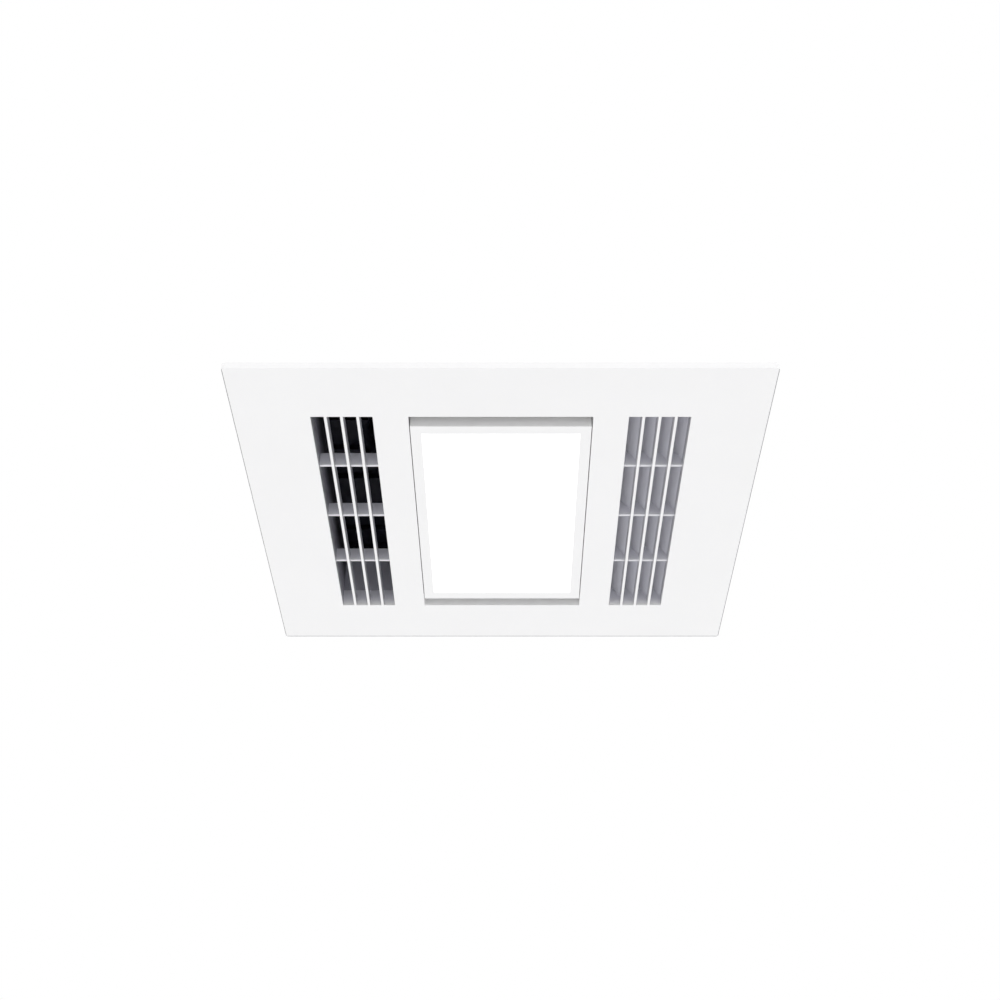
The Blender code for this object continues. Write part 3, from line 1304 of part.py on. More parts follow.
def make_end_plate(name, made_of, parent, side):
    """A plate across one end of the heater, with a flange under the housing's roof."""
    inner = END_PLATE_Y
    outer = END_PLATE_Y + SHEET
    high = ROOF_UNDERSIDE - SEAT_GAP
    outline = [
        (side * inner, DUCT_TOP + SEAT_GAP),
        (side * outer, DUCT_TOP + SEAT_GAP),
        (side * outer, high - SHEET),
        (side * (outer + PARTITION_FLANGE), high - SHEET),
        (side * (outer + PARTITION_FLANGE), high),
        (side * inner, high),
    ]
    hole = turned([(0, -FASCIA_SIDE), (BUSH_RADIUS + SEAT_GAP, -FASCIA_SIDE),
                   (BUSH_RADIUS + SEAT_GAP, FASCIA_SIDE), (0, FASCIA_SIDE)],
                  "Y", (HEATER_X, 0, HEATER_Z), 24)
    solid(name, made_of, parent, prism(outline, "X", END_PLATE_LOW_X, FIT_INNER), cut(hole))


def make_bush(made_of, parent):
    bore = JOURNAL_RADIUS + RUN_GAP
    face = END_PLATE_Y + SHEET + SEAT_GAP
    profile = [
        (bore, -face - BUSH_FLANGE),
        (BUSH_FLANGE_RADIUS, -face - BUSH_FLANGE),
        (BUSH_FLANGE_RADIUS, -face),
        (BUSH_RADIUS, -face),
        (BUSH_RADIUS, -END_PLATE_Y + BUSH_NOSE),
        (bore, -END_PLATE_Y + BUSH_NOSE),
    ]
    solid("bearing_bush", made_of, parent,
          turned(profile, "Y", (HEATER_X, 0, HEATER_Z), 20), smooth=True)


def make_wheel(made_of, parent):
    """The cross-flow wheel: long blades between end discs, with a journal at each end."""
    half = WHEEL_LENGTH / 2
    inner = WHEEL_RADIUS - WHEEL_BLADE_DEPTH
    near_end = END_PLATE_Y + SHEET + BUSH_FLANGE
    far_end = END_PLATE_Y + FAN_MOTOR_BORE - SEAT_GAP
    centre = (HEATER_X, 0, HEATER_Z)

    def disc(side, end):
        outer_face = side * half
        inner_face = side * (half - WHEEL_DISC)
        hub = side * (half - WHEEL_HUB_LENGTH)
        profile = [
            (0, hub),
            (WHEEL_HUB_RADIUS, hub),
            (WHEEL_HUB_RADIUS, inner_face),
            (WHEEL_RADIUS, inner_face),
            (WHEEL_RADIUS, outer_face),
            (JOURNAL_RADIUS, outer_face),
            (JOURNAL_RADIUS, side * end),
            (0, side * end),
        ]
        return turned(profile, "Y", centre, 24)

    middle = [
        (inner - WHEEL_DISC, -WHEEL_DISC / 2),
        (WHEEL_RADIUS, -WHEEL_DISC / 2),
        (WHEEL_RADIUS, WHEEL_DISC / 2),
        (inner - WHEEL_DISC, WHEEL_DISC / 2),
    ]
    blades = []
    for i in range(WHEEL_BLADE_COUNT):
        outline = leaning_blade(inner, WHEEL_RADIUS - WHEEL_DISC / 4,
                                math.tau * i / WHEEL_BLADE_COUNT, 4 * BLADE_LEAN,
                                BLADE_THICKNESS)
        points = [(HEATER_X + x, HEATER_Z + z) for x, z in outline]
        blades.append(prism(points, "Y", -half + WHEEL_DISC / 2, half - WHEEL_DISC / 2))
    solid("heater_wheel", made_of, parent, disc(-1, near_end), join(disc(1, far_end)),
          join(*blades), join(turned(middle, "Y", centre, 24)), smooth=True)


def make_fan_motor(made_of, parent):
    bore = JOURNAL_RADIUS + RUN_GAP
    low = END_PLATE_Y + SHEET + SEAT_GAP
    high = low + FAN_MOTOR_FLANGE + FAN_MOTOR_LENGTH
    edge = FAN_MOTOR_CAP
    profile = [
        (bore, END_PLATE_Y - BUSH_NOSE),
        (BUSH_RADIUS, END_PLATE_Y - BUSH_NOSE),
        (BUSH_RADIUS, low),
        (FAN_MOTOR_FLANGE_RADIUS, low),
        (FAN_MOTOR_FLANGE_RADIUS, low + FAN_MOTOR_FLANGE),
        (FAN_MOTOR_RADIUS, low + FAN_MOTOR_FLANGE),
        (FAN_MOTOR_RADIUS, high - edge),
        (FAN_MOTOR_RADIUS - edge, high),
        (FAN_MOTOR_CAP_RADIUS, high),
        (FAN_MOTOR_CAP_RADIUS, high + FAN_MOTOR_CAP),
        (0, high + FAN_MOTOR_CAP),
        (0, END_PLATE_Y + FAN_MOTOR_BORE),
        (bore, END_PLATE_Y + FAN_MOTOR_BORE),
    ]
    solid("heater_motor", made_of, parent,
          turned(profile, "Y", (HEATER_X, 0, HEATER_Z)), smooth=True)


# Electrics


def make_driver(made_of, parent):
    x, y, z = DRIVER_SIZE
    low = BASE_TOP + SEAT_GAP
    body_shape = prism(
        round_rectangle(DRIVER_Y - y / 2, DRIVER_Y + y / 2, low, low + z, BOX_EDGE),
        "X", DRIVER_X - x / 2, DRIVER_X + x / 2)
    tab_x = x / 2 + DRIVER_TAB
    tabs = box(DRIVER_X - tab_x, DRIVER_X + tab_x, DRIVER_Y - DRIVER_TAB, DRIVER_Y + DRIVER_TAB,
               low, low + DRIVER_TAB_SHEET)
    solid("led_driver", made_of, parent, body_shape, join(tabs))


def make_capacitor(made_of, parent):
    x, y, z = CAPACITOR_SIZE
    low = BASE_TOP + SEAT_GAP
    outline = round_rectangle(CAPACITOR_X - x / 2, CAPACITOR_X + x / 2,
                              CAPACITOR_Y - y / 2, CAPACITOR_Y + y / 2, BOX_EDGE)
    solid("run_capacitor", made_of, parent, prism(outline, "Z", low, low + z))


def terminal_boss_holes(low, high, radius):
    return [
        prism(circle(point, radius, SMALL_ROUND), "Z", low, high)
        for point in cover_screw_points()
    ]


def make_terminal_box(made_of, parent):
    half_x = TERMINAL_SIZE[0] / 2
    half_y = TERMINAL_SIZE[1] / 2
    low = TERMINAL_LOW
    high = low + TERMINAL_SIZE[2]
    shape = box(TERMINAL_X - half_x, TERMINAL_X + half_x, TERMINAL_Y - half_y,
                TERMINAL_Y + half_y, low, high)
    hollow = box(TERMINAL_X - half_x + SHEET, TERMINAL_X + half_x - SHEET,
                 TERMINAL_Y - half_y + SHEET, TERMINAL_Y + half_y - SHEET,
                 low + SHEET, high + OVERRUN)
    half = TERMINAL_BOSS / 2
    bosses = [
        box(x - half, x + half, y - half, y + half, low + SHEET / 2, high)
        for x, y in cover_screw_points()
    ]
    bores = terminal_boss_holes(high - COVER_SCREW_LENGTH - SEAT_GAP, high + OVERRUN,
                                COVER_SCREW_RADIUS + HOLE_GAP)
    wire_ways = [
        prism(circle((x, LEAD_HOLE_Y), LEAD_HOLE_RADIUS, SMALL_ROUND), "Z",
              low - OVERRUN, low + SHEET + OVERRUN)
        for x in (EXHAUST_LEAD_X, HEATER_LEAD_X)
    ]
    gland_way = rod("X", (TERMINAL_X + half_x, GLAND_Y, low + GLAND_HEIGHT),
                    GLAND_THREAD_RADIUS + SEAT_GAP, 2 * TERMINAL_BOSS, 20)
    solid("terminal_box", made_of, parent, shape, cut(hollow), join(*bosses),
          cut(gland_way, *wire_ways), cut(*bores))


def make_terminal_cover(made_of, parent):
    grow = SEAT_GAP + SHEET
    half_x = TERMINAL_SIZE[0] / 2 + grow
    half_y = TERMINAL_SIZE[1] / 2 + grow
    seat = TERMINAL_LOW + TERMINAL_SIZE[2] + SEAT_GAP
    shape = box(TERMINAL_X - half_x, TERMINAL_X + half_x, TERMINAL_Y - half_y,
                TERMINAL_Y + half_y, seat - TERMINAL_SKIRT, seat + SHEET)
    hollow = box(TERMINAL_X - half_x + SHEET, TERMINAL_X + half_x - SHEET,
                 TERMINAL_Y - half_y + SHEET, TERMINAL_Y + half_y - SHEET,
                 seat - TERMINAL_SKIRT - OVERRUN, seat)
    holes = terminal_boss_holes(seat - OVERRUN, seat + SHEET + OVERRUN,
                                COVER_SCREW_RADIUS + HOLE_GAP)
    solid("terminal_cover", made_of, parent, shape, cut(hollow), cut(*holes))
    for i, (x, y) in enumerate(cover_screw_points()):
        screw(f"cover_screw_{i + 1}", made_of, parent, "Z", (x, y, seat + SHEET + SEAT_GAP),
              COVER_SCREW_HEAD, COVER_SCREW_RADIUS, COVER_SCREW_LENGTH)


def block_near_y():
    far = TERMINAL_Y + TERMINAL_SIZE[1] / 2 - SHEET - BLOCK_CLEAR
    return far - BLOCK_SIZE[1]


def make_terminal_block(made_of, parent):
    x, y, z = BLOCK_SIZE
    low = TERMINAL_LOW + SHEET + SEAT_GAP
    near = block_near_y()
    shape = box(TERMINAL_X - x / 2, TERMINAL_X + x / 2, near, near + y, low, low + z)
    pitch = x / BLOCK_WAYS
    walls = []
    for i in range(1, BLOCK_WAYS):
        wall = TERMINAL_X - x / 2 + i * pitch
        walls.append(box(wall - BLOCK_SLOT / 2, wall + BLOCK_SLOT / 2, near - OVERRUN,
                         near + y + OVERRUN, low + z / 2, low + z + OVERRUN))
    solid("terminal_block", made_of, parent, shape, cut(*walls))


def make_gland(made_of, parent):
    """A cable gland in the terminal box's side: a thread, a hexagon and a round nut."""
    wall = TERMINAL_X + TERMINAL_SIZE[0] / 2
    centre = (0, GLAND_Y, TERMINAL_LOW + GLAND_HEIGHT)
    hex_low = wall + SEAT_GAP
    hex_high = hex_low + GLAND_HEX_LENGTH
    nut = hex_high + GLAND_NUT_LENGTH
    edge = GLAND_NUT_RADIUS / 4
    profile = [
        (GLAND_BORE_RADIUS, wall - GLAND_THREAD_LENGTH),
        (GLAND_THREAD_RADIUS, wall - GLAND_THREAD_LENGTH),
        (GLAND_THREAD_RADIUS, hex_high - BITE),
        (GLAND_NUT_RADIUS, hex_high - BITE),
        (GLAND_NUT_RADIUS, nut - 2 * edge),
        (GLAND_NUT_RADIUS - edge / 2, nut - edge / 2),
        (GLAND_NUT_RADIUS - edge, nut),
        (GLAND_BORE_RADIUS, nut),
    ]
    hexagon = prism(circle(centre[1:], GLAND_HEX_RADIUS, 6), "X", hex_low, hex_high)
    bore = rod("X", (wall, GLAND_Y, centre[2]), GLAND_BORE_RADIUS, FASCIA_SIDE, 20)
    solid("cable_gland", made_of, parent, hexagon, cut(bore), join(turned(profile, "X", centre, 20)),
          smooth=True)


def make_earth_screw(made_of, parent):
    screw("earth_screw", made_of, parent, "Z", (EARTH_X, TERMINAL_Y, HOUSING_HEIGHT + SEAT_GAP),
          EARTH_SCREW_HEAD, EARTH_SCREW_RADIUS, EARTH_SCREW_LENGTH)


def smooth_route(points, samples):
    """Points on a smooth curve through the route's own points."""
    ends = [points[0] * 2 - points[1], *points, points[-1] * 2 - points[-2]]
    route = []
    for i in range(len(points) - 1):
        before, start, end, after = ends[i:i + 4]
        for k in range(samples):
            t = k / samples
            route.append(0.5 * (2 * start + (end - before) * t
                                + (2 * before - 5 * start + 4 * end - after) * t ** 2
                                + (3 * start - before - 3 * end + after) * t ** 3))
    route.append(points[-1])
    return route


def make_lead(name, made_of, parent, points, radius):
    """A sheathed lead along a smooth route, as a curve with a round bevel and filled ends."""
    route = smooth_route([Vector(point) for point in points], 3)
    curve = bpy.data.curves.new(name, "CURVE")
    curve.dimensions = "3D"
    curve.bevel_depth = radius
    curve.bevel_resolution = 2
    curve.use_fill_caps = True
    spline = curve.splines.new("POLY")
    spline.points.add(len(route) - 1)
    for point, place in zip(spline.points, route):
        point.co = (*place, 1)
    made = bpy.data.objects.new(name, curve)
    made.parent = parent
    curve.materials.append(made_of)
    bpy.context.collection.objects.link(made)


def make_leads(made_of, parent):
    """The internal leads, from the motor and the heater up to the terminals and down to the light."""
    exit_angle = math.atan2(LEAD_HOLE_Y - BLOWER_Y, EXHAUST_LEAD_X - BLOWER_X)
    reach = MOTOR_RADIUS + SEAT_GAP
    start = (BLOWER_X + reach * math.cos(exit_angle), BLOWER_Y + reach * math.sin(exit_angle))
    end_y = block_near_y() - SEAT_GAP
    terminal_z = TERMINAL_LOW + SHEET + BLOCK_SIZE[2] / 2
    make_lead("exhaust_lead", made_of, parent, [
        (start[0], start[1], 0.147),
        (start[0] + 0.012, start[1] - 0.009, 0.147),
        (0.003, -0.0797, 0.154),
        (EXHAUST_LEAD_X, LEAD_HOLE_Y, 0.166),
        (EXHAUST_LEAD_X, LEAD_HOLE_Y, HOUSING_HEIGHT),
        (EXHAUST_LEAD_X, -0.079, 0.1792),
        (EXHAUST_LEAD_X, end_y - 0.004, terminal_z),
        (EXHAUST_LEAD_X, end_y, terminal_z),
    ], LEAD_RADIUS)
    heater_x = ptc_span()[0] - SHEET - 2 * SEAT_GAP
    make_lead("heater_lead", made_of, parent, [
        (heater_x, -0.1, 0.056),
        (0.076, -0.1, 0.057),
        (0.064, -0.1, 0.068),
        (0.056, -0.098, 0.095),
        (0.05, -0.093, 0.13),
        (0.0455, -0.086, 0.158),
        (HEATER_LEAD_X, LEAD_HOLE_Y, HOUSING_HEIGHT),
        (HEATER_LEAD_X, -0.079, 0.1792),
        (HEATER_LEAD_X, end_y - 0.004, terminal_z),
        (HEATER_LEAD_X, end_y, terminal_z),
    ], LEAD_RADIUS)
    driver_end = DRIVER_X + DRIVER_SIZE[0] / 2 + SEAT_GAP
    socket_top = SOCKET_LOW + SOCKET_SIZE[2] + SEAT_GAP
    make_lead("light_lead", made_of, parent, [
        (driver_end, DRIVER_Y, 0.074),
        (0.0135, DRIVER_Y, 0.0728),
        (LIGHT_LEAD_X, DRIVER_Y, 0.066),
        (LIGHT_LEAD_X, DRIVER_Y, 0.054),
        (0.0175, -0.124, 0.0455),
        (0.0235, -0.111, 0.0415),
        (0.0315, -0.1035, 0.0405),
        (socket_middle_x(), SOCKET_Y, socket_top + 0.003),
        (socket_middle_x(), SOCKET_Y, socket_top),
    ], LIGHT_LEAD_RADIUS)


def main():
    for old in list(bpy.data.objects):
        bpy.data.objects.remove(old)
    white = material("white_plastic", (0.9, 0.9, 0.9), 0.45)
    lit = material("lit_acrylic", (0.95, 0.95, 0.95), 0.35)
    clear = material("clear_acrylic", (0.85, 0.9, 0.92), 0.1)
    foam = material("grey_foam", (0.18, 0.18, 0.19), 0.9)
    board = material("light_board", (0.85, 0.86, 0.82), 0.5)
    zinc = material("galvanised_steel", (0.62, 0.64, 0.65), 0.42, 1.0)
    spring = material("spring_steel", (0.5, 0.51, 0.53), 0.3, 1.0)
    bright = material("zinc_screw", (0.7, 0.7, 0.68), 0.3, 1.0)
    black = material("black_plastic", (0.02, 0.022, 0.03), 0.5)
    alloy = material("aluminium", (0.78, 0.79, 0.8), 0.35, 1.0)
    ceramic = material("heater_frame", (0.75, 0.72, 0.66), 0.6)
    brass = material("sintered_bronze", (0.55, 0.4, 0.2), 0.45, 1.0)
    grey = material("grey_plastic", (0.42, 0.43, 0.45), 0.5)
    cream = material("cream_plastic", (0.78, 0.75, 0.66), 0.45)
    sheath = material("lead_sheath", (0.05, 0.05, 0.055), 0.55)

    housing = body("housing_root")
    fascia = body("fascia_slide")
    exhaust = body("exhaust_axis", (BLOWER_X, BLOWER_Y, IMPELLER_HIGH))
    heater = body("heater_axis", (HEATER_X, 0, HEATER_Z))
    damper = body("damper_axis", (OUTLET_MIDDLE_X, FLAP_Y, FLAP_AXIS_Z))

    make_fascia(white, fascia)
    make_seal(foam, fascia)
    make_bezel(white, fascia)
    make_optics(lit, clear, white, fascia)
    make_light_strip("led_strip_left", board, fascia, -1)
    make_light_strip("led_strip_right", board, fascia, 1)
    pan_floor = make_back_plate(zinc, fascia)
    make_light_screws(bright, fascia)
    make_plug(cream, fascia, pan_floor)

    make_housing(zinc, housing)
    make_partition(zinc, housing)
    make_liner(grey, housing)
    make_catches(spring, housing)
    make_base(black, housing)
    make_scroll(black, housing)
    make_cover(zinc, housing)
    make_exhaust_motor(zinc, housing)
    make_duct_adapter(black, housing)
    make_duct_screws(bright, housing)
    make_pin(spring, housing)
    make_outlet_duct(zinc, housing)
    make_ptc_frame(ceramic, housing)
    make_ptc_bar(alloy, housing)
    make_ptc_fins("ptc_fins_1", alloy, housing, ptc_columns()[0])
    make_ptc_fins("ptc_fins_2", alloy, housing, ptc_columns()[2])
    make_cutout(grey, housing)
    make_heater_scroll(zinc, housing)
    make_heater_tongue(zinc, housing)
    make_end_plate("heater_end_near", zinc, housing, -1)
    make_end_plate("heater_end_far", zinc, housing, 1)
    make_bush(brass, housing)
    make_fan_motor(grey, housing)
    make_driver(cream, housing)
    make_capacitor(grey, housing)
    make_socket(cream, housing)
    make_terminal_box(zinc, housing)
    make_terminal_cover(zinc, housing)
    make_terminal_block(cream, housing)
    make_gland(black, housing)
    make_earth_screw(bright, housing)
    make_leads(sheath, housing)

    make_impeller(grey, exhaust)
    make_shaft(spring, exhaust)
    make_wheel(alloy, heater)
    make_flap(black, damper)


main()
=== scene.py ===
"""Looks for the bathroom ceiling heater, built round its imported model.

Every place here is in metres, in the model's own frame: +Z up, with the origin in the middle of
the ceiling opening. The fascia hangs below the ceiling and is seen from below.
"""

import json
import math

import bmesh
import bpy
from mathutils import Matrix, Vector


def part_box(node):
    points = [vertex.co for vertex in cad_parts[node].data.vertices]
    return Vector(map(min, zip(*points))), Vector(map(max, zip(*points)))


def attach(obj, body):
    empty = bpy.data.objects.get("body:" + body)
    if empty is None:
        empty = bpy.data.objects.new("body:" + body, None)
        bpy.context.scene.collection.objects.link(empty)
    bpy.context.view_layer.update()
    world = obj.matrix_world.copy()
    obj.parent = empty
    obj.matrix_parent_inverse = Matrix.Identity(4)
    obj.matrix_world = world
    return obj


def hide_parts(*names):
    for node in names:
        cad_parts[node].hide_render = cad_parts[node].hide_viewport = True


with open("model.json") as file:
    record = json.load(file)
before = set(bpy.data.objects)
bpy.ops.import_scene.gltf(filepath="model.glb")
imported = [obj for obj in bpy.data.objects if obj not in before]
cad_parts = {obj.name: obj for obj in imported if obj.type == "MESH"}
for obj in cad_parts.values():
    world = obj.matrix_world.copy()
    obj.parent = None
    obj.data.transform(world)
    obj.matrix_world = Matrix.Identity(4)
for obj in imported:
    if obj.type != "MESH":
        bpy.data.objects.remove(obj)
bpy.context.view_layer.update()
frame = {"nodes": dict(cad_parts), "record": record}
NODES = frame["nodes"]

MM = 0.001
SHEET_AND_FIT = 1.5 * MM  # from the partition's end to the housing's outside
HOUSING_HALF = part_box("partition")[1].y + SHEET_AND_FIT
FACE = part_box("fascia")[0].z
GRILLE_X = 118.9 * MM  # the middle of each grille
GRILLE_HALF = 23.4 * MM
GRILLE_END = 141.9 * MM

# Colours, and what some places multiply theirs by
WHITE = (0.878, 0.877, 0.874)
# Painted shade on the fascia: in the grilles' hollows, more in the right grille, on the bars'
# sides and along three edges
PAINTED_HOLLOW_SHADE = (1, 1, 1.08)
PAINTED_RIGHT_GRILLE_SHADE = (0.85, 0.85, 0.85)
PAINTED_BAR_SIDE_SHADE = (0.47, 0.47, 0.48)
PAINTED_EDGE_SHADE = (0.4, 0.4, 0.41)
ZINC = (0.66, 0.68, 0.7)
BLACK = (0.0085, 0.0088, 0.016)
GREY = (0.4, 0.41, 0.43)
BLUE_GREY = (0.5, 0.5, 0.57)
CREAM = (0.72, 0.69, 0.6)
FOIL = (0.8, 0.81, 0.82)
MIX_INPUTS = (0, 6, 7)  # a Mix node's factor and its two colours
MIX_RESULT = 2  # its colour

# Sizes that a shape and its material share
CHIP_PITCH = 19 * MM
KNOCKOUT = 6.8 * MM  # its groove's radius
KNOCKOUT_HALF = 0.35 * MM
KNOCKOUT_LEVEL = 10.5 * MM
CAPACITOR_WALL = 1.6 * MM
DRIVER_LID = 5 * MM
DRIVER_SEAM = 0.5 * MM
VENT_PITCH = 5 * MM
VENT_HALF_WIDTH = 0.9 * MM
VENT_HALF_HEIGHT = 4.5 * MM
VENT_LEVEL = 9 * MM
VENTS_EACH_WAY = 4
TERMINAL_WAYS = 7
TERMINAL_SCREW_OUT = 4 * MM
TERMINAL_WELL = 2.8 * MM
TERMINAL_HEAD = 2.2 * MM
TERMINAL_SLOT_HALF = 0.3 * MM
TERMINAL_ENTRY = 2.2 * MM
TERMINAL_ENTRY_LEVEL = 4 * MM
SPOKE_WIDTH = 2.6 * MM
EXHAUST_SPOKES = (21 * MM, 33 * MM, 18)  # from, to and how many
HEATER_SPOKES = (14 * MM, 23 * MM, 16)
CUTOUT_RING = 5.6 * MM  # its groove's radius
CUTOUT_RING_HALF = 0.3 * MM

# Sizes of shapes
SAME_POINT = 0.001 * MM  # points nearer than this are one
EDGE = 0.15 * MM  # an edge's rounding, where EDGES gives none
CLEAR = 1 * MM  # how far a cutting shape stands over the face that it cuts
HEAD_HEIGHT = 2 * MM  # of each screw
DRIVER_TAB = 7 * MM
BEAD_CORNER = 14 * MM
BEAD_PROFILE = ((-3.6, -0.5), (-2.4, 0.4), (-1.3, 0.85), (0, 1), (1.3, 0.85), (2.4, 0.4),
                (3.6, -0.5))  # in millimetres, across and out
BODIES = {"led_plug": "fascia"}  # of the reworked nodes that don't ride on the housing


def node_middle(name):
    low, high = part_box(name)
    return (low + high) / 2


# Materials


def plug(tree, socket, value):
    """Links an output to the socket, or sets the socket's own value."""
    if isinstance(value, bpy.types.NodeSocket):
        tree.links.new(value, socket)
    else:
        socket.default_value = value


def add_node(tree, kind, settings=(), **inputs):
    """A new node with its settings, and what goes into its named inputs."""
    node = tree.nodes.new(kind)
    for key, value in dict(settings).items():
        setattr(node, key, value)
    for key, value in inputs.items():
        plug(tree, node.inputs[key.replace("_", " ")], value)
    return node


def add_math(tree, operation, first, second=0.0):
    node = add_node(tree, "ShaderNodeMath", {"operation": operation})
    for socket, value in zip(node.inputs, (first, second)):
        plug(tree, socket, value)
    return node.outputs[0]


class Shader:
    """A Principled material whose detail comes from textures in real sizes."""

    def __init__(self, name, colour, roughness, metallic=0.0, **plain):
        self.material = bpy.data.materials.new(name)
        self.material.use_nodes = True
        self.tree = self.material.node_tree
        self.principled = self.tree.nodes["Principled BSDF"]
        self.colour = colour
        self.principled.inputs["Base Color"].default_value = (*colour, 1)
        self.principled.inputs["Roughness"].default_value = roughness
        self.principled.inputs["Metallic"].default_value = metallic
        for socket, value in plain.items():
            self.principled.inputs[socket.replace("_", " ")].default_value = value
        self.material.diffuse_color = (*colour, 1)
        self.coordinates = self.add("ShaderNodeTexCoord").outputs["Object"]
        self.height = None

    def add(self, kind, settings=(), **inputs):
        return add_node(self.tree, kind, settings, **inputs)

    def math(self, operation, first, second=0.0):
        return add_math(self.tree, operation, first, second)

    def stretched(self, scale):
        """The object's own coordinates, scaled along each axis."""
        return self.add("ShaderNodeMapping", Vector=self.coordinates, Scale=scale).outputs[0]

    def length(self, across, along):
        squares = [self.math("MULTIPLY", side, side) for side in (across, along)]
        return self.math("SQRT", self.math("ADD", *squares))

    def noise(self, size, detail=2.0, vector=None):
        """Cloudy values between 0 and 1 whose features are about size across."""
        node = self.add("ShaderNodeTexNoise", Vector=vector or self.coordinates,
                        Scale=1 / size, Detail=detail)
        return node.outputs["Fac"]

    def cells(self, size, output="Color", vector=None):
        """Irregular cells about size across."""
        node = self.add("ShaderNodeTexVoronoi", Vector=vector or self.coordinates, Scale=1 / size)
        return node.outputs[output]

    def spread(self, value, low, high, start=0.3, end=0.7):
        """From low to high, as the value goes from start to end."""
        node = self.add("ShaderNodeMapRange", Value=value, From_Min=start, From_Max=end,
                        To_Min=low, To_Max=high)
        return node.outputs["Result"]

    def tint(self, value, darker, lighter, start=0.3, end=0.7):
        """Colours the surface between two multiples of its colour."""
        ramp = self.add("ShaderNodeValToRGB", Fac=value)
        ramp.color_ramp.elements[0].position = start
        ramp.color_ramp.elements[1].position = end
        for element, share in zip(ramp.color_ramp.elements, (darker, lighter)):
            element.color = (*[min(1, c * share) for c in self.colour], 1)
        self.tree.links.new(ramp.outputs["Color"], self.principled.inputs["Base Color"])

    def shade(self, amount, colour):
        """Multiplies the surface's colour by another, as far as the amount says."""
        node = self.add("ShaderNodeMix", {"data_type": "RGBA", "blend_type": "MULTIPLY"})
        base = self.principled.inputs["Base Color"]
        parts = (amount, base.links[0].from_socket, (*colour, 1))
        for index, value in zip(MIX_INPUTS, parts):
            plug(self.tree, node.inputs[index], value)
        self.tree.links.new(node.outputs[MIX_RESULT], base)

    def at(self, axes):
        """The surface's place along each of these axes."""
        places = self.add("ShaderNodeSeparateXYZ", Vector=self.coordinates).outputs
        return [places[axis] for axis in axes]

    def faces(self, axis, least=0.7):
        """1 where the surface faces along the axis, either way, and 0 elsewhere."""
        normal = self.add("ShaderNodeNewGeometry").outputs["True Normal"]
        sides = self.add("ShaderNodeSeparateXYZ", Vector=normal).outputs
        return self.math("GREATER_THAN", self.math("ABSOLUTE", sides[axis]), least)

    def inverse(self, amount):
        return self.math("SUBTRACT", 1, amount)

    def off(self, value, middle):
        return self.math("ABSOLUTE", self.math("SUBTRACT", value, middle))

    def within(self, value, middle, half):
        """1 where the value lies within half of the middle, and 0 elsewhere."""
        return self.math("LESS_THAN", self.off(value, middle), half)

    def every(self, value, pitch, start=0.0):
        """The distance from the nearest of a row of places, the first of them at start."""
        shifted = self.math("SUBTRACT", value, start - pitch / 2)
        return self.off(self.math("FLOORED_MODULO", shifted, pitch), pitch / 2)

    def all_of(self, *values):
        product = values[0]
        for value in values[1:]:
            product = self.math("MULTIPLY", product, value)
        return product

    def rough(self, value):
        self.tree.links.new(value, self.principled.inputs["Roughness"])

    def metal(self, value):
        self.tree.links.new(value, self.principled.inputs["Metallic"])

    def bump(self, value, depth, strength=1.0):
        """Adds relief of about depth, over what is there already."""
        node = self.add("ShaderNodeBump", Height=value, Strength=strength, Distance=depth)
        if self.height:
            self.tree.links.new(self.height, node.inputs["Normal"])
        self.height = node.outputs["Normal"]
        self.tree.links.new(self.height, self.principled.inputs["Normal"])


def moulded(name, colour, roughness, grain, depth, mottle, **plain):
    """A moulded plastic: fine spark-eroded grain, faint clouds in its colour and its gloss."""
    made = Shader(name, colour, roughness, **plain)
    made.tint(made.noise(60 * MM, detail=3), 1 - mottle, 1 + mottle)
    made.rough(made.spread(made.noise(9 * MM), roughness - 0.04, roughness + 0.05))
    made.bump(made.noise(grain, detail=1), depth)
    made.bump(made.noise(35 * MM, detail=1), depth * 3, strength=0.3)
    return made


def white_plastic(name):
    return moulded(name, WHITE, roughness=0.45, grain=0.35 * MM, depth=0.006 * MM, mottle=0.006)


def grey_plastic(name, colour=GREY):
    return moulded(name, colour, roughness=0.52, grain=0.4 * MM, depth=0.012 * MM, mottle=0.08)


def cream_plastic(name):
    return moulded(name, CREAM, roughness=0.42, grain=0.4 * MM, depth=0.01 * MM, mottle=0.05)


def fascia_plastic():
    """White plastic, with painted shade: bluer within the grilles and darker along three of its
    edges.

    The right grille has a little more painted shade inside. The sides of the bars are painted
    darker too, most of all in the left grille. The near edge has no line in the photo.
    """
    made = white_plastic("fascia_abs")
    upright, right_share = 0.93, 0.55  # of the shade on the bars' sides
    line_width, line_height, far_line_width = 0.65 * MM, 0.35 * MM, 1.15 * MM
    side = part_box("fascia")[1].x
    x, y, z = made.at("XYZ")
    out = made.math("ABSOLUTE", x)
    grille = made.all_of(made.within(out, GRILLE_X, GRILLE_HALF), made.within(y, 0, GRILLE_END))
    depth = made.spread(z, 0, 1, start=FACE + 1 * MM, end=FACE + 8 * MM)
    painted_hollow = made.all_of(grille, depth)
    # painted shade: bluer deeper in the grilles' hollows, and greyer in the right grille
    made.shade(painted_hollow, PAINTED_HOLLOW_SHADE)
    made.shade(made.all_of(painted_hollow, made.math("GREATER_THAN", x, 0)), PAINTED_RIGHT_GRILLE_SHADE)
    mostly_left = made.spread(x, 1, right_share, start=-1 * MM, end=1 * MM)
    # painted shade on the bars' upright sides, strongest in the left grille
    made.shade(made.all_of(grille, made.faces("X", upright), mostly_left), PAINTED_BAR_SIDE_SHADE)
    # painted shade: a dark line along the two side edges and the far edge
    farther = made.math("ADD", y, far_line_width - line_width)
    reach = made.math("MAXIMUM", out, farther)
    edge = made.all_of(made.math("GREATER_THAN", reach, side - line_width),
                       made.math("LESS_THAN", z, FACE + line_height))
    made.shade(edge, PAINTED_EDGE_SHADE)
    return made


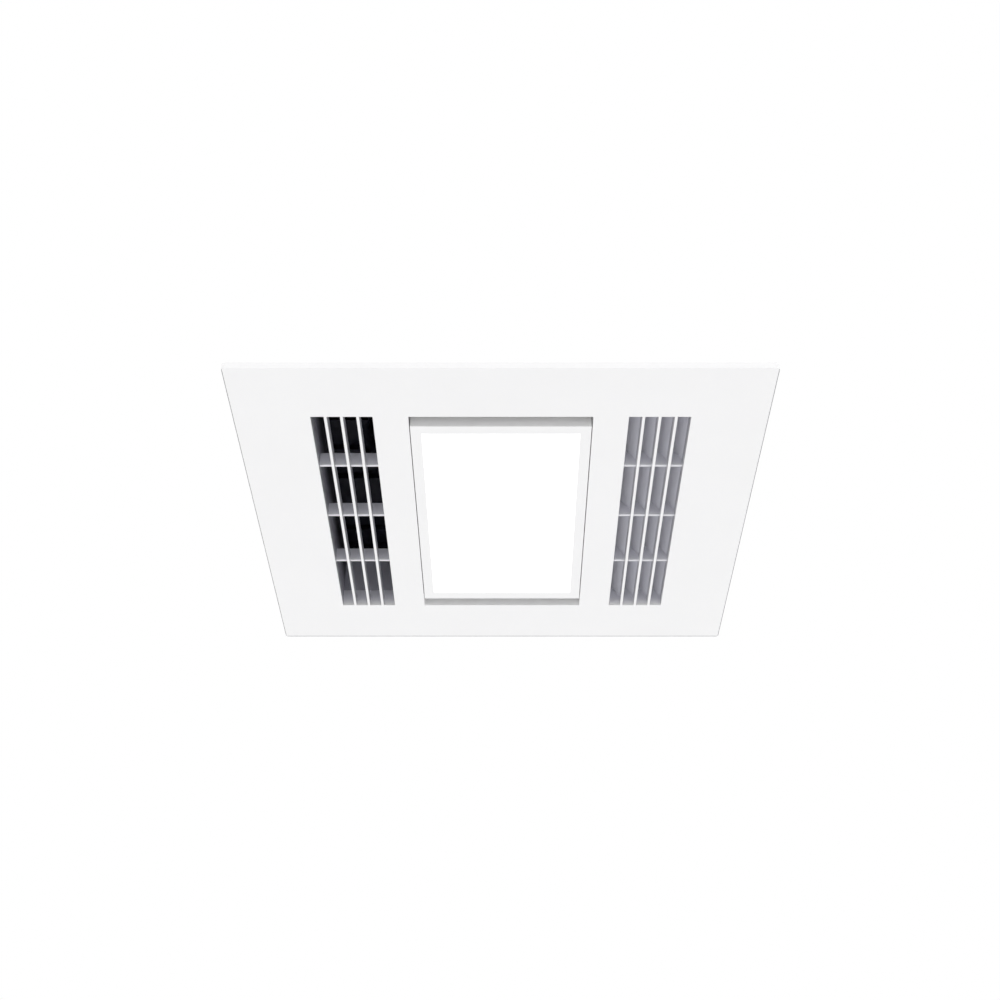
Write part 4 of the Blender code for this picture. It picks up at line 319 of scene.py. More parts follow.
def galvanised(name, spangle):
    """Zinc-coated sheet: flat crystals that each catch the light a little differently."""
    roughness = 0.38
    made = Shader(name, ZINC, roughness, metallic=1)
    warped = made.add("ShaderNodeVectorMath", {"operation": "MULTIPLY_ADD"})
    parts = (made.noise(spangle * 0.7, detail=2), (spangle * 0.5,) * 3, made.coordinates)
    for socket, value in zip(warped.inputs, parts):
        plug(made.tree, socket, value)
    cells = made.cells(spangle, vector=warped.outputs[0])
    crystal = made.add("ShaderNodeSeparateColor", Color=cells).outputs["Red"]
    made.tint(crystal, 0.87, 1.05, start=0, end=1)
    made.rough(made.spread(crystal, roughness - 0.06, roughness + 0.08, start=0, end=1))
    made.bump(made.noise(1.2 * MM, detail=2), 0.01 * MM)
    made.bump(made.noise(45 * MM, detail=1), 0.25 * MM, strength=0.35)
    return made


def housing_sheet():
    """Zinc-coated sheet with small spot welds beside its upright corners."""
    setback, pitch = 8 * MM, 28 * MM
    made = galvanised("housing_sheet", 6 * MM)
    x, y, z = made.at("XYZ")
    side = made.faces("X")
    along = made.math("ADD", made.math("MULTIPLY", y, side),
                      made.math("MULTIPLY", x, made.inverse(side)))
    near = made.off(made.off(along, 0), HOUSING_HALF - setback)
    reach = made.length(near, made.every(z, pitch, pitch / 2))
    weld = made.spread(reach, 0, 1, start=1.6 * MM, end=2.6 * MM)
    made.bump(made.math("MAXIMUM", weld, made.faces("Z")), 0.25 * MM)
    return made


def drawn_metal(name, colour, roughness, along):
    """Plain metal with fine streaks along one axis."""
    made = Shader(name, colour, roughness, metallic=1)
    scale = [0.02 if axis == along else 1 for axis in "XYZ"]
    lines = made.noise(0.35 * MM, detail=2, vector=made.stretched(scale))
    made.tint(lines, 0.9, 1.1)
    made.rough(made.spread(lines, roughness - 0.06, roughness + 0.1))
    made.bump(lines, 0.006 * MM)
    return made


def plated(name, colour, roughness):
    """Bright zinc plate: a slight yellow and blue cloudiness and tiny pits."""
    made = Shader(name, colour, roughness, metallic=1)
    made.tint(made.noise(1.5 * MM, detail=3), 0.82, 1.1)
    made.rough(made.spread(made.noise(0.5 * MM), roughness - 0.06, roughness + 0.1))
    made.bump(made.noise(0.15 * MM, detail=1), 0.004 * MM)
    return made


def lit_panel():
    made = Shader("opal_panel", (0.95, 0.95, 0.95), 0.4)
    made.tint(made.noise(30 * MM, detail=2), 0.99, 1.01)
    made.bump(made.noise(0.3 * MM, detail=1), 0.004 * MM)
    made.principled.inputs["Emission Color"].default_value = (1, 1, 1, 1)
    made.principled.inputs["Emission Strength"].default_value = 0.35
    return made


def clear_sheet():
    """A light guide: clear, with the dot print that sends light out of its face."""
    made = Shader("clear_acrylic", (0.9, 0.94, 0.95), 0.08, Transmission_Weight=0.8, IOR=1.49)
    dots = made.cells(1.6 * MM, "Distance")
    made.tint(dots, 1.05, 0.92, start=0, end=0.0008)
    made.rough(made.spread(dots, 0.5, 0.06, start=0.0002, end=0.0005))
    return made


def foam():
    made = Shader("grey_foam", (0.16, 0.16, 0.17), 0.92)
    pores = made.cells(0.9 * MM, "Distance")
    made.tint(pores, 0.55, 1.15, start=0, end=0.0006)
    made.bump(pores, 0.12 * MM, strength=0.8)
    made.bump(made.noise(6 * MM), 0.3 * MM, strength=0.4)
    return made


def sintered():
    made = Shader("sintered_bronze", (0.5, 0.36, 0.18), 0.5, metallic=1)
    grains = made.cells(0.35 * MM, "Distance")
    made.tint(grains, 0.6, 1.2, start=0, end=0.0003)
    made.bump(grains, 0.03 * MM, strength=0.7)
    return made


def heat_frame():
    """The heater's frame: a matt, glass-filled moulding with a trace of its fibres."""
    made = Shader("glass_filled_frame", (0.7, 0.67, 0.6), 0.65)
    fibres = made.noise(0.5 * MM, detail=3, vector=made.stretched((1, 0.15, 1)))
    made.tint(fibres, 0.86, 1.08)
    made.rough(made.spread(fibres, 0.55, 0.75))
    made.bump(fibres, 0.02 * MM)
    return made


def motor_paint(name):
    """Hammered grey enamel over a cast shell."""
    made = Shader(name, (0.3, 0.31, 0.33), 0.4, Coat_Weight=0.3, Coat_Roughness=0.2)
    made.tint(made.noise(20 * MM, detail=3), 0.9, 1.1)
    made.rough(made.spread(made.noise(4 * MM), 0.32, 0.5))
    made.bump(made.cells(1.6 * MM, "Distance"), 0.05 * MM, strength=0.6)
    return made


def sheath():
    """A lead's black sheath, faintly ribbed by the cores twisted inside it."""
    made = Shader("black_sheath", (0.022, 0.022, 0.024), 0.45)
    made.tint(made.noise(8 * MM, detail=2), 0.8, 1.3)
    made.rough(made.spread(made.noise(3 * MM), 0.38, 0.55))
    made.bump(made.noise(0.6 * MM, detail=1), 0.02 * MM)
    return made


# Materials that follow one node's own shape


def liner_plastic():
    """Blue grey, with painted shade that darkens its long walls towards the top, as the photo
    shows the one in view.
    """
    made = grey_plastic("liner_nylon", BLUE_GREY)
    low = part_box("intake_liner")[0].z
    [z] = made.at("Z")
    painted_wall_shade = made.spread(z, 0, 1, start=low, end=low + 18 * MM)
    # painted shade up the long walls
    made.shade(made.all_of(made.faces("X"), painted_wall_shade), (0.13, 0.13, 0.145))
    return made


def capacitor_case():
    """A moulded case whose open top is filled with dark resin."""
    made = grey_plastic("capacitor_case")
    low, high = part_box("run_capacitor")
    middle, half = (low + high) / 2, (high - low) / 2
    wall = CAPACITOR_WALL - 0.1 * MM
    x, y, z = made.at("XYZ")
    resin = made.all_of(made.within(x, middle.x, half.x - wall),
                        made.within(y, middle.y, half.y - wall),
                        made.faces("Z"), made.math("GREATER_THAN", z, middle.z))
    made.shade(resin, (0.12, 0.09, 0.08))
    made.bump(made.math("MULTIPLY", resin, made.noise(6 * MM)), 0.3 * MM)
    return made


def driver_case():
    """A clipped case, with painted shade in its lid's seam and in the vents of its long sides."""
    made = cream_plastic("driver_case")
    low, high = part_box("led_driver")
    middle = (low.x + high.x) / 2
    x, z = made.at("XZ")
    seam = made.all_of(made.inverse(made.faces("Z", 0.5)),
                       made.within(z, high.z - DRIVER_LID, DRIVER_SEAM / 2))
    vents = made.all_of(made.faces("Y"),
                        made.within(x, middle, (VENTS_EACH_WAY + 0.4) * VENT_PITCH),
                        made.math("LESS_THAN", made.every(x, VENT_PITCH, middle), VENT_HALF_WIDTH),
                        made.within(z, low.z + VENT_LEVEL, VENT_HALF_HEIGHT))
    # painted shade in the seam and the vents
    made.shade(made.math("MAXIMUM", seam, vents), (0.06, 0.06, 0.06))
    return made


def terminal_plastic():
    """Cream, with metal screws in wells, and an entry for a wire below each; wells and entries get
    painted shade.
    """
    made = cream_plastic("terminal_nylon")
    low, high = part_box("terminal_block")
    pitch = (high.x - low.x) / TERMINAL_WAYS
    x, y, z = made.at("XYZ")
    across = made.every(x, pitch, low.x + pitch / 2)
    reach = made.length(across, made.off(made.off(y, (low.y + high.y) / 2), TERMINAL_SCREW_OUT))
    top = made.faces("Z")
    well = made.all_of(top, made.math("LESS_THAN", reach, TERMINAL_WELL))
    head = made.all_of(top, made.math("LESS_THAN", reach, TERMINAL_HEAD),
                       made.math("GREATER_THAN", across, TERMINAL_SLOT_HALF))
    reach = made.length(across, made.off(z, low.z + TERMINAL_ENTRY_LEVEL))
    entry = made.all_of(made.faces("Y"), made.math("LESS_THAN", reach, TERMINAL_ENTRY))
    # painted shade in the wells round the screws and in the wire entries
    dark = made.math("MAXIMUM", made.math("SUBTRACT", well, head), entry)
    made.shade(dark, (0.07, 0.07, 0.07))
    made.shade(head, (0.9, 0.95, 1))
    made.metal(head)
    return made


def chip_board():
    """A white board whose raised chips have yellow faces."""
    made = moulded("chip_board", (0.82, 0.83, 0.79), roughness=0.35, grain=0.2 * MM,
                   depth=0.004 * MM, mottle=0.02)
    low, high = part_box("led_strip_left")
    half_length, half_height, skin = 1.6 * MM, 0.55 * MM, 0.2 * MM
    x, y, z = made.at("XYZ")
    along = made.every(y, CHIP_PITCH, CHIP_PITCH / 2)
    face = made.all_of(made.math("LESS_THAN", made.off(x, 0), skin - high.x),
                       made.math("LESS_THAN", along, half_length),
                       made.within(z, (low.z + high.z) / 2, half_height))
    made.shade(face, (1, 0.8, 0.2))
    made.bump(made.inverse(face), 0.2 * MM)
    return made


def vent_ring(made, across, along, inner, outer, count):
    """Slots that stand like spokes, between two radii."""
    reach = made.length(across, along)
    turn = made.math("ARCTAN2", along, across)
    aside = made.math("MULTIPLY", made.every(turn, 2 * math.pi / count), reach)
    return made.all_of(made.math("GREATER_THAN", reach, inner),
                       made.math("LESS_THAN", reach, outer),
                       made.math("LESS_THAN", aside, SPOKE_WIDTH / 2))


def exhaust_motor_shell():
    """Zinc-coated cups, with painted shade inside the vents."""
    made = galvanised("exhaust_motor_shell", 3 * MM)
    middle = node_middle("exhaust_motor")
    x, y, z = made.at("XYZ")
    across, along = made.math("SUBTRACT", x, middle.x), made.math("SUBTRACT", y, middle.y)
    vents = made.all_of(made.faces("Z"), made.math("GREATER_THAN", z, middle.z),
                        vent_ring(made, across, along, *EXHAUST_SPOKES))
    # painted shade inside the vents
    made.shade(vents, (0.04, 0.04, 0.04))
    return made


def heater_motor_shell():
    """Enamel over the shell, with the stack of bare laminations in its middle."""
    made = motor_paint("motor_enamel")
    stack_half, pitch, seam_half = 8 * MM, 1 * MM, 0.12 * MM
    middle = node_middle("heater_motor")
    x, y, z = made.at("XYZ")
    across, height = made.math("SUBTRACT", x, middle.x), made.math("SUBTRACT", z, middle.z)
    vents = made.all_of(made.faces("Y"), vent_ring(made, across, height, *HEATER_SPOKES))
    stack = made.all_of(made.inverse(made.faces("Y", 0.5)), made.within(y, middle.y, stack_half))
    sheet = made.all_of(stack, made.math("LESS_THAN", made.every(y, pitch), seam_half))
    made.shade(stack, (1.3, 1.28, 1.22))
    # painted shade in the vents; the darker lines between the stack's sheets are their joints
    made.shade(made.math("MAXIMUM", vents, sheet), (0.15, 0.15, 0.15))
    return made


def fin_foil():
    """Thin foil with louvres cut across each fold."""
    made = drawn_metal("fin_foil", FOIL, 0.32, "Z")
    slit_end, pitch, slit_half = 9.5 * MM, 1.9 * MM, 0.25 * MM
    [z] = made.at("Z")
    slits = made.all_of(made.within(z, node_middle("ptc_fins_1").z, slit_end),
                        made.math("LESS_THAN", made.every(z, pitch), slit_half))
    # painted shade in the louvre slits
    made.shade(slits, (0.3, 0.3, 0.3))
    made.bump(made.inverse(slits), 0.3 * MM)
    return made


def cutout_case():
    """A phenolic disc, with painted shade in the groove round its face."""
    made = moulded("cutout_phenolic", GREY, roughness=0.5, grain=0.3 * MM, depth=0.015 * MM,
                   mottle=0.12)
    middle = node_middle("thermal_cutout")
    y, z = made.at("YZ")
    reach = made.length(made.math("SUBTRACT", y, middle.y), made.math("SUBTRACT", z, middle.z))
    made.shade(made.within(reach, CUTOUT_RING, CUTOUT_RING_HALF), (0.35, 0.35, 0.35))
    return made


def plug_nylon():
    """Cream nylon with brass blades."""
    made = cream_plastic("plug_nylon")
    [z] = made.at("Z")
    blades = made.math("GREATER_THAN", z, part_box("led_socket")[0].z - 0.1 * MM)
    made.shade(blades, (1, 0.8, 0.45))
    made.metal(blades)
    return made


def terminal_sheet():
    """Zinc-coated sheet, with painted shade in the cut round its knock-outs."""
    made = galvanised("terminal_sheet", 5 * MM)
    low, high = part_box("terminal_box")
    x, z = made.at("XZ")
    reach = made.length(made.math("SUBTRACT", x, (low.x + high.x) / 2),
                        made.math("SUBTRACT", z, low.z + KNOCKOUT_LEVEL))
    ring = made.all_of(made.faces("Y"), made.within(reach, KNOCKOUT, KNOCKOUT_HALF))
    made.shade(ring, (0.45, 0.45, 0.45))
    return made


def make_materials():
    """A material for each slot, and one for each node whose own shape it follows."""
    shaders = {
        "white_plastic": white_plastic("white_abs"),
        "fascia": fascia_plastic(),
        "lit_acrylic": lit_panel(),
        "clear_acrylic": clear_sheet(),
        "grey_foam": foam(),
        "light_board": chip_board(),
        "galvanised_steel": galvanised("galvanised_sheet", 5 * MM),
        "housing": housing_sheet(),
        "terminal_box": terminal_sheet(),
        "exhaust_motor": exhaust_motor_shell(),
        "spring_steel": drawn_metal("spring_steel", (0.52, 0.53, 0.55), 0.28, "Z"),
        "zinc_screw": plated("zinc_plate", (0.72, 0.71, 0.66), 0.28),
        "black_plastic": moulded("black_abs", BLACK, roughness=0.55, grain=0.4 * MM,
                                 depth=0.015 * MM, mottle=0.2, Specular_IOR_Level=0.15),
        "aluminium": drawn_metal("rolled_aluminium", FOIL, 0.32, "Y"),
        "ptc_fins_1": fin_foil(),
        "heater_frame": heat_frame(),
        "sintered_bronze": sintered(),
        "painted_motor": heater_motor_shell(),
        "grey_plastic": grey_plastic("grey_nylon"),
        "intake_liner": liner_plastic(),
        "run_capacitor": capacitor_case(),
        "thermal_cutout": cutout_case(),
        "cream_plastic": cream_plastic("cream_nylon"),
        "led_plug": plug_nylon(),
        "led_driver": driver_case(),
        "terminal_block": terminal_plastic(),
        "lead_sheath": sheath(),
    }
    shaders["ptc_fins_2"] = shaders["ptc_fins_1"]
    return {name: made.material for name, made in shaders.items()}


MATERIALS = make_materials()


# Carried-over nodes


EDGES = {
    "fascia": 0.3 * MM,
    "led_bezel": 0.25 * MM,
    "housing": 0.25 * MM,
    "intake_liner": 0.25 * MM,
    "duct_adapter": 0.3 * MM,
    "fascia_seal": 0.3 * MM,
}
SLOTS = {part["node"]: part["material_slot"] for part in frame["record"]["subparts"]}


def finish_piece(made, node):
    """The piece gets its node's material, rounded edges and even shading, and keeps its mesh."""
    mesh = made.data
    mesh.materials.clear()
    mesh.materials.append(MATERIALS.get(node) or MATERIALS[SLOTS[node]])
    for stored in ("custom_normal", "sharp_edge"):
        if stored in mesh.attributes:
            mesh.attributes.remove(mesh.attributes[stored])
    mesh.shade_smooth()
    weld = made.modifiers.new("weld", "WELD")
    weld.merge_threshold = SAME_POINT
    flat = made.modifiers.new("flat_faces", "DECIMATE")
    flat.decimate_type = "DISSOLVE"
    flat.angle_limit = math.radians(0.3)
    bevel = made.modifiers.new("rounded_edges", "BEVEL")
    bevel.width = EDGES.get(node, EDGE)
    bevel.segments = 2
    bevel.limit_method = "ANGLE"
    bevel.angle_limit = math.radians(32)
    even = made.modifiers.new("even_shading", "WEIGHTED_NORMAL")
    even.keep_sharp = False
    even.weight = 50


def finish_nodes():
    for name in SLOTS:
        finish_piece(NODES[name], name)


# Shapes that stand for a node, each along its own +Z with its seat at the origin


def mesh_of(bm, name):
    """The shape as a mesh. The shape is used up."""
    mesh = bpy.data.meshes.new(name)
    bm.to_mesh(mesh)
    bm.free()
    return mesh


def put(name, data):
    """A new object in the scene."""
    made = bpy.data.objects.new(name, data)
    bpy.context.scene.collection.objects.link(made)
    return made


def turn_to(axis):
    """The turn that takes +Z to the axis."""
    return Vector(axis).to_track_quat("Z", "Y")


def link_rows(bm, rows, closed=False):
    """Faces between each ring of points and the next."""
    pairs = list(zip(rows, rows[1:]))
    if closed:
        pairs.append((rows[-1], rows[0]))
    for lower, upper in pairs:
        for i in range(len(lower)):
            j = (i + 1) % len(lower)
            bm.faces.new((lower[i], lower[j], upper[j], upper[i]))


def wound(bm, stations, sides, radius_at, ends=True, closed=False):
    """A barrel whose radius depends on its place along its axis and on the angle round it."""
    angles = [2 * math.pi * i / sides for i in range(sides)]
    rows = []
    for k, height in enumerate(stations):
        radii = [radius_at(k, height, angle) for angle in angles]
        rows.append([bm.verts.new((r * math.cos(a), r * math.sin(a), height))
                     for r, a in zip(radii, angles)])
    link_rows(bm, rows, closed)
    if ends:
        bm.faces.new(rows[0])
        bm.faces.new(rows[-1])


def thread_radius(outer, depth, pitch, height, angle):
    """A V-shaped thread that climbs one pitch in each turn."""
    turn = (height / pitch - angle / (2 * math.pi)) % 1
    return outer - depth * abs(2 * turn - 1)


def add_thread(bm, outer, depth, pitch, low, high, tip):
    """A threaded shank from high down to low, tapered over its tip."""
    steps_a_turn, sides = 5, 18
    count = max(4, round((high - low) / pitch * steps_a_turn))
    stations = [low + (high - low) * i / count for i in range(count + 1)]

    def radius(k, height, angle):
        full = thread_radius(outer, depth, pitch, height, angle)
        return full * (0.15 + 0.85 * min(1, (height - low) / tip))

    wound(bm, stations, sides, radius)


def carved(bm, cutter, operation="DIFFERENCE"):
    """The shape less the cutter, or joined to it, as a new mesh. Both are used up."""
    for shape in (bm, cutter):
        bmesh.ops.recalc_face_normals(shape, faces=shape.faces)
    body, tool = [put("carved", mesh_of(shape, "carved")) for shape in (bm, cutter)]
    cut = body.modifiers.new("cut", "BOOLEAN")
    cut.object = tool
    cut.operation = operation
    cut.solver = "EXACT"
    cut.use_self = True
    graph = bpy.context.evaluated_depsgraph_get()
    mesh = bpy.data.meshes.new_from_object(body.evaluated_get(graph))
    for made in (body, tool):
        bpy.data.objects.remove(made)
    return mesh


def cross_recess(width, length, depth, top):
    """Two tapered slots that cross, sunk from the top."""
    bm = bmesh.new()
    for turned in (False, True):
        corners = []
        for height, share in ((top + 0.5 * MM, 1.1), (top - depth, 0.45)):
            across, along = width / 2 * (0.6 + 0.4 * share), length / 2 * share
            flat = [(-across, -along), (across, -along), (across, along), (-across, along)]
            ring = [(y, x) if turned else (x, y) for x, y in flat]
            corners.append([bm.verts.new((x, y, height)) for x, y in ring])
        link_rows(bm, corners)
        bm.faces.new(corners[0])
        bm.faces.new(corners[1])
    return bm


def head_profile(radius, height):
    """A pan head's outline from its seat to its middle."""
    edge = 0.42 * height
    points = [(radius * 0.97, 0), (radius, 0.12 * height), (radius, edge)]
    for i in range(1, 7):
        angle = math.pi / 2 * i / 7
        points.append((radius * (0.35 + 0.65 * math.cos(angle)),
                       edge + (height - edge) * math.sin(angle)))
    points.append((radius * 0.3, height))
    return points


def smoothed(bm, mesh, sharp):
    """Writes the shape into the mesh, smooth but for edges over this many degrees."""
    bmesh.ops.recalc_face_normals(bm, faces=bm.faces)
    bm.to_mesh(mesh)
    bm.free()
    mesh.shade_smooth()
    mesh.set_sharp_from_angle(angle=math.radians(sharp))
    return mesh


def screw_mesh(radius, shank, length):
    """A pan-head screw with a cross recess and a rolled thread."""
    bm = bmesh.new()
    profile = head_profile(radius, HEAD_HEIGHT)
    wound(bm, [level for _, level in profile], sides=40,
          radius_at=lambda k, h, a: profile[k][0])
    drive = min(radius, 3.2 * MM)
    mesh = carved(bm, cross_recess(width=0.32 * drive, length=1.15 * drive,
                                   depth=0.6 * HEAD_HEIGHT, top=HEAD_HEIGHT))
    bm = bmesh.new()
    bm.from_mesh(mesh)
    add_thread(bm, outer=shank, depth=0.16 * shank, pitch=0.42 * shank, low=-length,
               high=0.3 * HEAD_HEIGHT, tip=shank)
    return smoothed(bm, mesh, sharp=35)


def stand_for(node, mesh, material, body, place, axis):
    """Shows the mesh in a node's place, with its +Z turned to the axis."""
    mesh.materials.clear()
    mesh.materials.append(material)
    piece = put(node + "_made", mesh)
    piece.location = place
    piece.rotation_euler = turn_to(axis).to_euler()
    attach(piece, body)
    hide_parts(node)
    return piece


SCREWS = {  # what each one rides on, and its shank's radius in millimetres
    **{f"led_screw_{i}": ("fascia", 1.3) for i in range(1, 5)},
    **{f"duct_screw_{i}": ("housing", 1.5) for i in range(1, 5)},
    **{f"cover_screw_{i}": ("housing", 1.5) for i in (1, 2)},
    "earth_screw": ("housing", 2.0),
}


def make_screws():
    """Each screw fills its node's box, and each one is turned its own way."""
    for i, (name, (body, shank)) in enumerate(SCREWS.items()):
        low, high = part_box(name)
        size = high - low
        upright = size.z > size.y
        length = (size.z if upright else size.y) - HEAD_HEIGHT
        mesh = screw_mesh(size.x / 2, shank * MM, length)
        mesh.transform(Matrix.Rotation(math.radians(37 * i), 4, "Z"))
        axis = (0, 0, 1) if upright else (0, 1, 0)
        seat = node_middle(name) + Vector(axis) * (length - HEAD_HEIGHT) / 2
        piece = stand_for(name, mesh, MATERIALS["zinc_screw"], body, seat, axis)


def gland_mesh(bore, hexagon, hexagon_length, nut, nut_length, thread, thread_length):
    """A cable gland: threaded spigot, chamfered hexagon and a ribbed, domed nut with a bore."""
    bm = bmesh.new()
    top = hexagon_length + nut_length
    sides = 84
    dome = (1, 1, 1, 0.97, 0.9, 0.78, 0.66, 0.62)
    shoulder = 5  # the first station of the dome where the ribs fade

    def flats(k, height, angle):
        across = hexagon * math.cos(math.pi / 6)
        turn = (angle + math.pi / 6) % (math.pi / 3) - math.pi / 6
        edge = min(height, hexagon_length - height)
        return min(across / math.cos(turn), hexagon * 0.94 + max(0, edge) * 1.6)

    def ribs(k, height, angle):
        depth = 0.5 * MM if k < shoulder else 0.15 * MM
        return nut * dome[k] - depth * (0.5 + 0.5 * math.cos(14 * angle)) ** 0.5

    wound(bm, [hexagon_length * s for s in (0, 0.08, 0.2, 0.8, 0.92, 1)], sides, flats)
    wound(bm, [hexagon_length + nut_length * s
               for s in (-0.03, 0.03, 0.3, 0.55, 0.75, 0.9, 0.98, 1)], sides, ribs)
    cutter = bmesh.new()
    flare = [(bore, -thread_length - MM), (bore, top - 2 * MM), (bore * 1.08, top - 0.6 * MM),
             (bore * 1.25, top + MM)]
    wound(cutter, [level for _, level in flare], sides=36, radius_at=lambda k, h, a: flare[k][0])
    mesh = carved(bm, cutter)
    spigot = bmesh.new()
    steps = 28
    stations = [-thread_length + thread_length * i / steps for i in range(steps + 1)]

    def outside_then_bore(k, height, angle):
        if k > steps:
            return bore
        return thread_radius(thread, 0.6 * MM, 1.5 * MM, height, angle)

    wound(spigot, [*stations, 0, -thread_length], 36, outside_then_bore, ends=False, closed=True)
    bm = bmesh.new()
    bm.from_mesh(mesh)
    joined = mesh_of(spigot, "spigot")
    bm.from_mesh(joined)
    bpy.data.meshes.remove(joined)
    return smoothed(bm, mesh, sharp=30)


def make_gland():
    middle = node_middle("cable_gland")
    hexagon_length, nut_length = 5 * MM, 13 * MM
    mesh = gland_mesh(bore=4 * MM, hexagon=9.5 * MM, hexagon_length=hexagon_length, nut=8.5 * MM,
                      nut_length=nut_length, thread=7.2 * MM, thread_length=7.3 * MM)
    seat = (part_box("cable_gland")[1].x - hexagon_length - nut_length, middle.y, middle.z)
    piece = stand_for("cable_gland", mesh, MATERIALS["black_plastic"], "housing", seat, (1, 0, 0))


# Nodes with shapes pressed, cut or raised on them


def gathered(shapes):
    """All the shapes as one, each of them used up."""
    whole = bmesh.new()
    for shape in shapes:
        mesh = mesh_of(shape, "shape")
        whole.from_mesh(mesh)
        bpy.data.meshes.remove(mesh)
    return whole


def worked(node, raised=(), cut=()):
    """The node's own mesh with shapes joined to it and cut from it, in the node's place."""
    bm = bmesh.new()
    bm.from_mesh(NODES[node].data)
    bmesh.ops.remove_doubles(bm, verts=bm.verts, dist=SAME_POINT)
    for shapes, operation in ((raised, "UNION"), (cut, "DIFFERENCE")):
        if shapes:
            mesh = carved(bm, gathered(shapes), operation)
            bm = bmesh.new()
            bm.from_mesh(mesh)
            bpy.data.meshes.remove(mesh)
    piece = put(node + "_made", mesh_of(bm, node + "_made"))
    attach(piece, BODIES.get(node, "housing"))
    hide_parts(node)
    finish_piece(piece, node)


def block(low, high):
    """A box between two corners."""
    low, high = Vector(low), Vector(high)
    bm = bmesh.new()
    bmesh.ops.create_cube(bm, size=1)
    bmesh.ops.scale(bm, vec=high - low, verts=bm.verts)
    bmesh.ops.translate(bm, vec=(low + high) / 2, verts=bm.verts)
    return bm


def lathed(outline, place, axis, sides=48, ring=False):
    """A closed outline of radii and heights, turned about an axis through the place."""
    bm = bmesh.new()
    wound(bm, [level for _, level in outline], sides,
          lambda k, height, angle: outline[k][0], not ring, ring)
    bm.transform(Matrix.Translation(place) @ turn_to(axis).to_matrix().to_4x4())
    return bm


def groove_ring(inner, outer, depth, place, axis):
    """A ring that cuts this deep below the place."""
    outline = [(inner, -depth), (outer, -depth), (outer, CLEAR), (inner, CLEAR)]
    return lathed(outline, place, axis, ring=True)


def drill(radius, depth, place, axis):
    return lathed([(radius, -depth), (radius, CLEAR)], place, axis, sides=32)


def raised_ring(radius, half, rise, place, axis):
    """A rounded ring round a barrel of this radius."""
    root = radius - 0.5 * MM
    outline = [(root, -half), (radius + 0.3 * rise, -0.8 * half), (radius + rise, -0.3 * half),
               (radius + rise, 0.3 * half), (radius + 0.3 * rise, 0.8 * half), (root, half)]
    return lathed(outline, place, axis, ring=True)


def grooves_round(low, high, level, height, depth):
    """Four thin blocks that cut one groove round the upright walls of a box."""
    bottom, top = level - height / 2, level + height / 2
    shapes = []
    for near, far in ((low.x - CLEAR, low.x + depth), (high.x - depth, high.x + CLEAR)):
        shapes.append(block((near, low.y - CLEAR, bottom), (far, high.y + CLEAR, top)))
    for near, far in ((low.y - CLEAR, low.y + depth), (high.y - depth, high.y + CLEAR)):
        shapes.append(block((low.x - CLEAR, near, bottom), (high.x + CLEAR, far, top)))
    return shapes


def bead(centre, half, u, v):
    """A pressed bead along a rounded rectangle, which lies over the plane of u and v."""
    steps = 8
    centre, u, v = Vector(centre), Vector(u), Vector(v)
    out = u.cross(v)
    bm = bmesh.new()
    rows = []
    for i, side in enumerate(((1, 1), (-1, 1), (-1, -1), (1, -1))):
        middle = [(h - BEAD_CORNER) * s for h, s in zip(half, side)]
        for k in range(steps + 1):
            angle = math.pi / 2 * (i + k / steps)
            turn = u * math.cos(angle) + v * math.sin(angle)
            spine = centre + u * middle[0] + v * middle[1] + turn * BEAD_CORNER
            rows.append([bm.verts.new(spine + turn * across * MM + out * rise * MM)
                         for across, rise in BEAD_PROFILE])
    link_rows(bm, rows, True)
    return bm


def radial_slots(place, axis, depth, inner, outer, count):
    """Slots that stand like spokes and cut this deep below the place."""
    stance = Matrix.Translation(place) @ turn_to(axis).to_matrix().to_4x4()
    shapes = []
    for i in range(count):
        shape = block((inner, -SPOKE_WIDTH / 2, -depth), (outer, SPOKE_WIDTH / 2, CLEAR))
        shape.transform(stance @ Matrix.Rotation(2 * math.pi * i / count, 4, "Z"))
        shapes.append(shape)
    return shapes


def make_housing():
    """Stiffening beads stand out of the walls and the roof."""
    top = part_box("housing")[1].z
    level = 88 * MM
    half = (120 * MM, 50 * MM)
    up = (0, 0, 1)
    worked("housing", raised=[
        bead((0, -HOUSING_HALF, level), half, (1, 0, 0), up),
        bead((HOUSING_HALF, 0, level), half, (0, 1, 0), up),
        bead((-HOUSING_HALF, 0, level), half, (0, -1, 0), up),
        bead((62 * MM, HOUSING_HALF, level), (78 * MM, 50 * MM), (-1, 0, 0), up),
        bead((0, 62 * MM, top), (122 * MM, 64 * MM), (1, 0, 0), (0, 1, 0)),
    ])


def make_duct():
    """Two ribs round the collar hold the duct that is pushed over it."""
    low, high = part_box("duct_adapter")
    centre = (low + high) / 2
    radius = (high.z - low.z) / 2
    worked("duct_adapter", raised=[
        raised_ring(radius, half=1.5 * MM, rise=0.5 * MM,
                    place=(centre.x, high.y - setback, centre.z), axis=(0, 1, 0))
        for setback in (4 * MM, 11 * MM)
    ])


def make_terminal_box():
    """A round knock-out in each long wall."""
    low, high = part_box("terminal_box")
    x, z = (low.x + high.x) / 2, low.z + KNOCKOUT_LEVEL
    worked("terminal_box", cut=[
        groove_ring(KNOCKOUT - KNOCKOUT_HALF, KNOCKOUT + KNOCKOUT_HALF, depth=0.4 * MM,
                    place=(x, y, z), axis=(0, side, 0))
        for y, side in ((low.y, -1), (high.y, 1))
    ])


def make_capacitor():
    """Its resin lies a little below the case's rim."""
    low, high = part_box("run_capacitor")
    wall = Vector((CAPACITOR_WALL, CAPACITOR_WALL, 0))
    depth = 0.9 * MM
    worked("run_capacitor", cut=[
        block(Vector((low.x, low.y, high.z - depth)) + wall,
              Vector((high.x, high.y, high.z + CLEAR)) - wall),
    ])


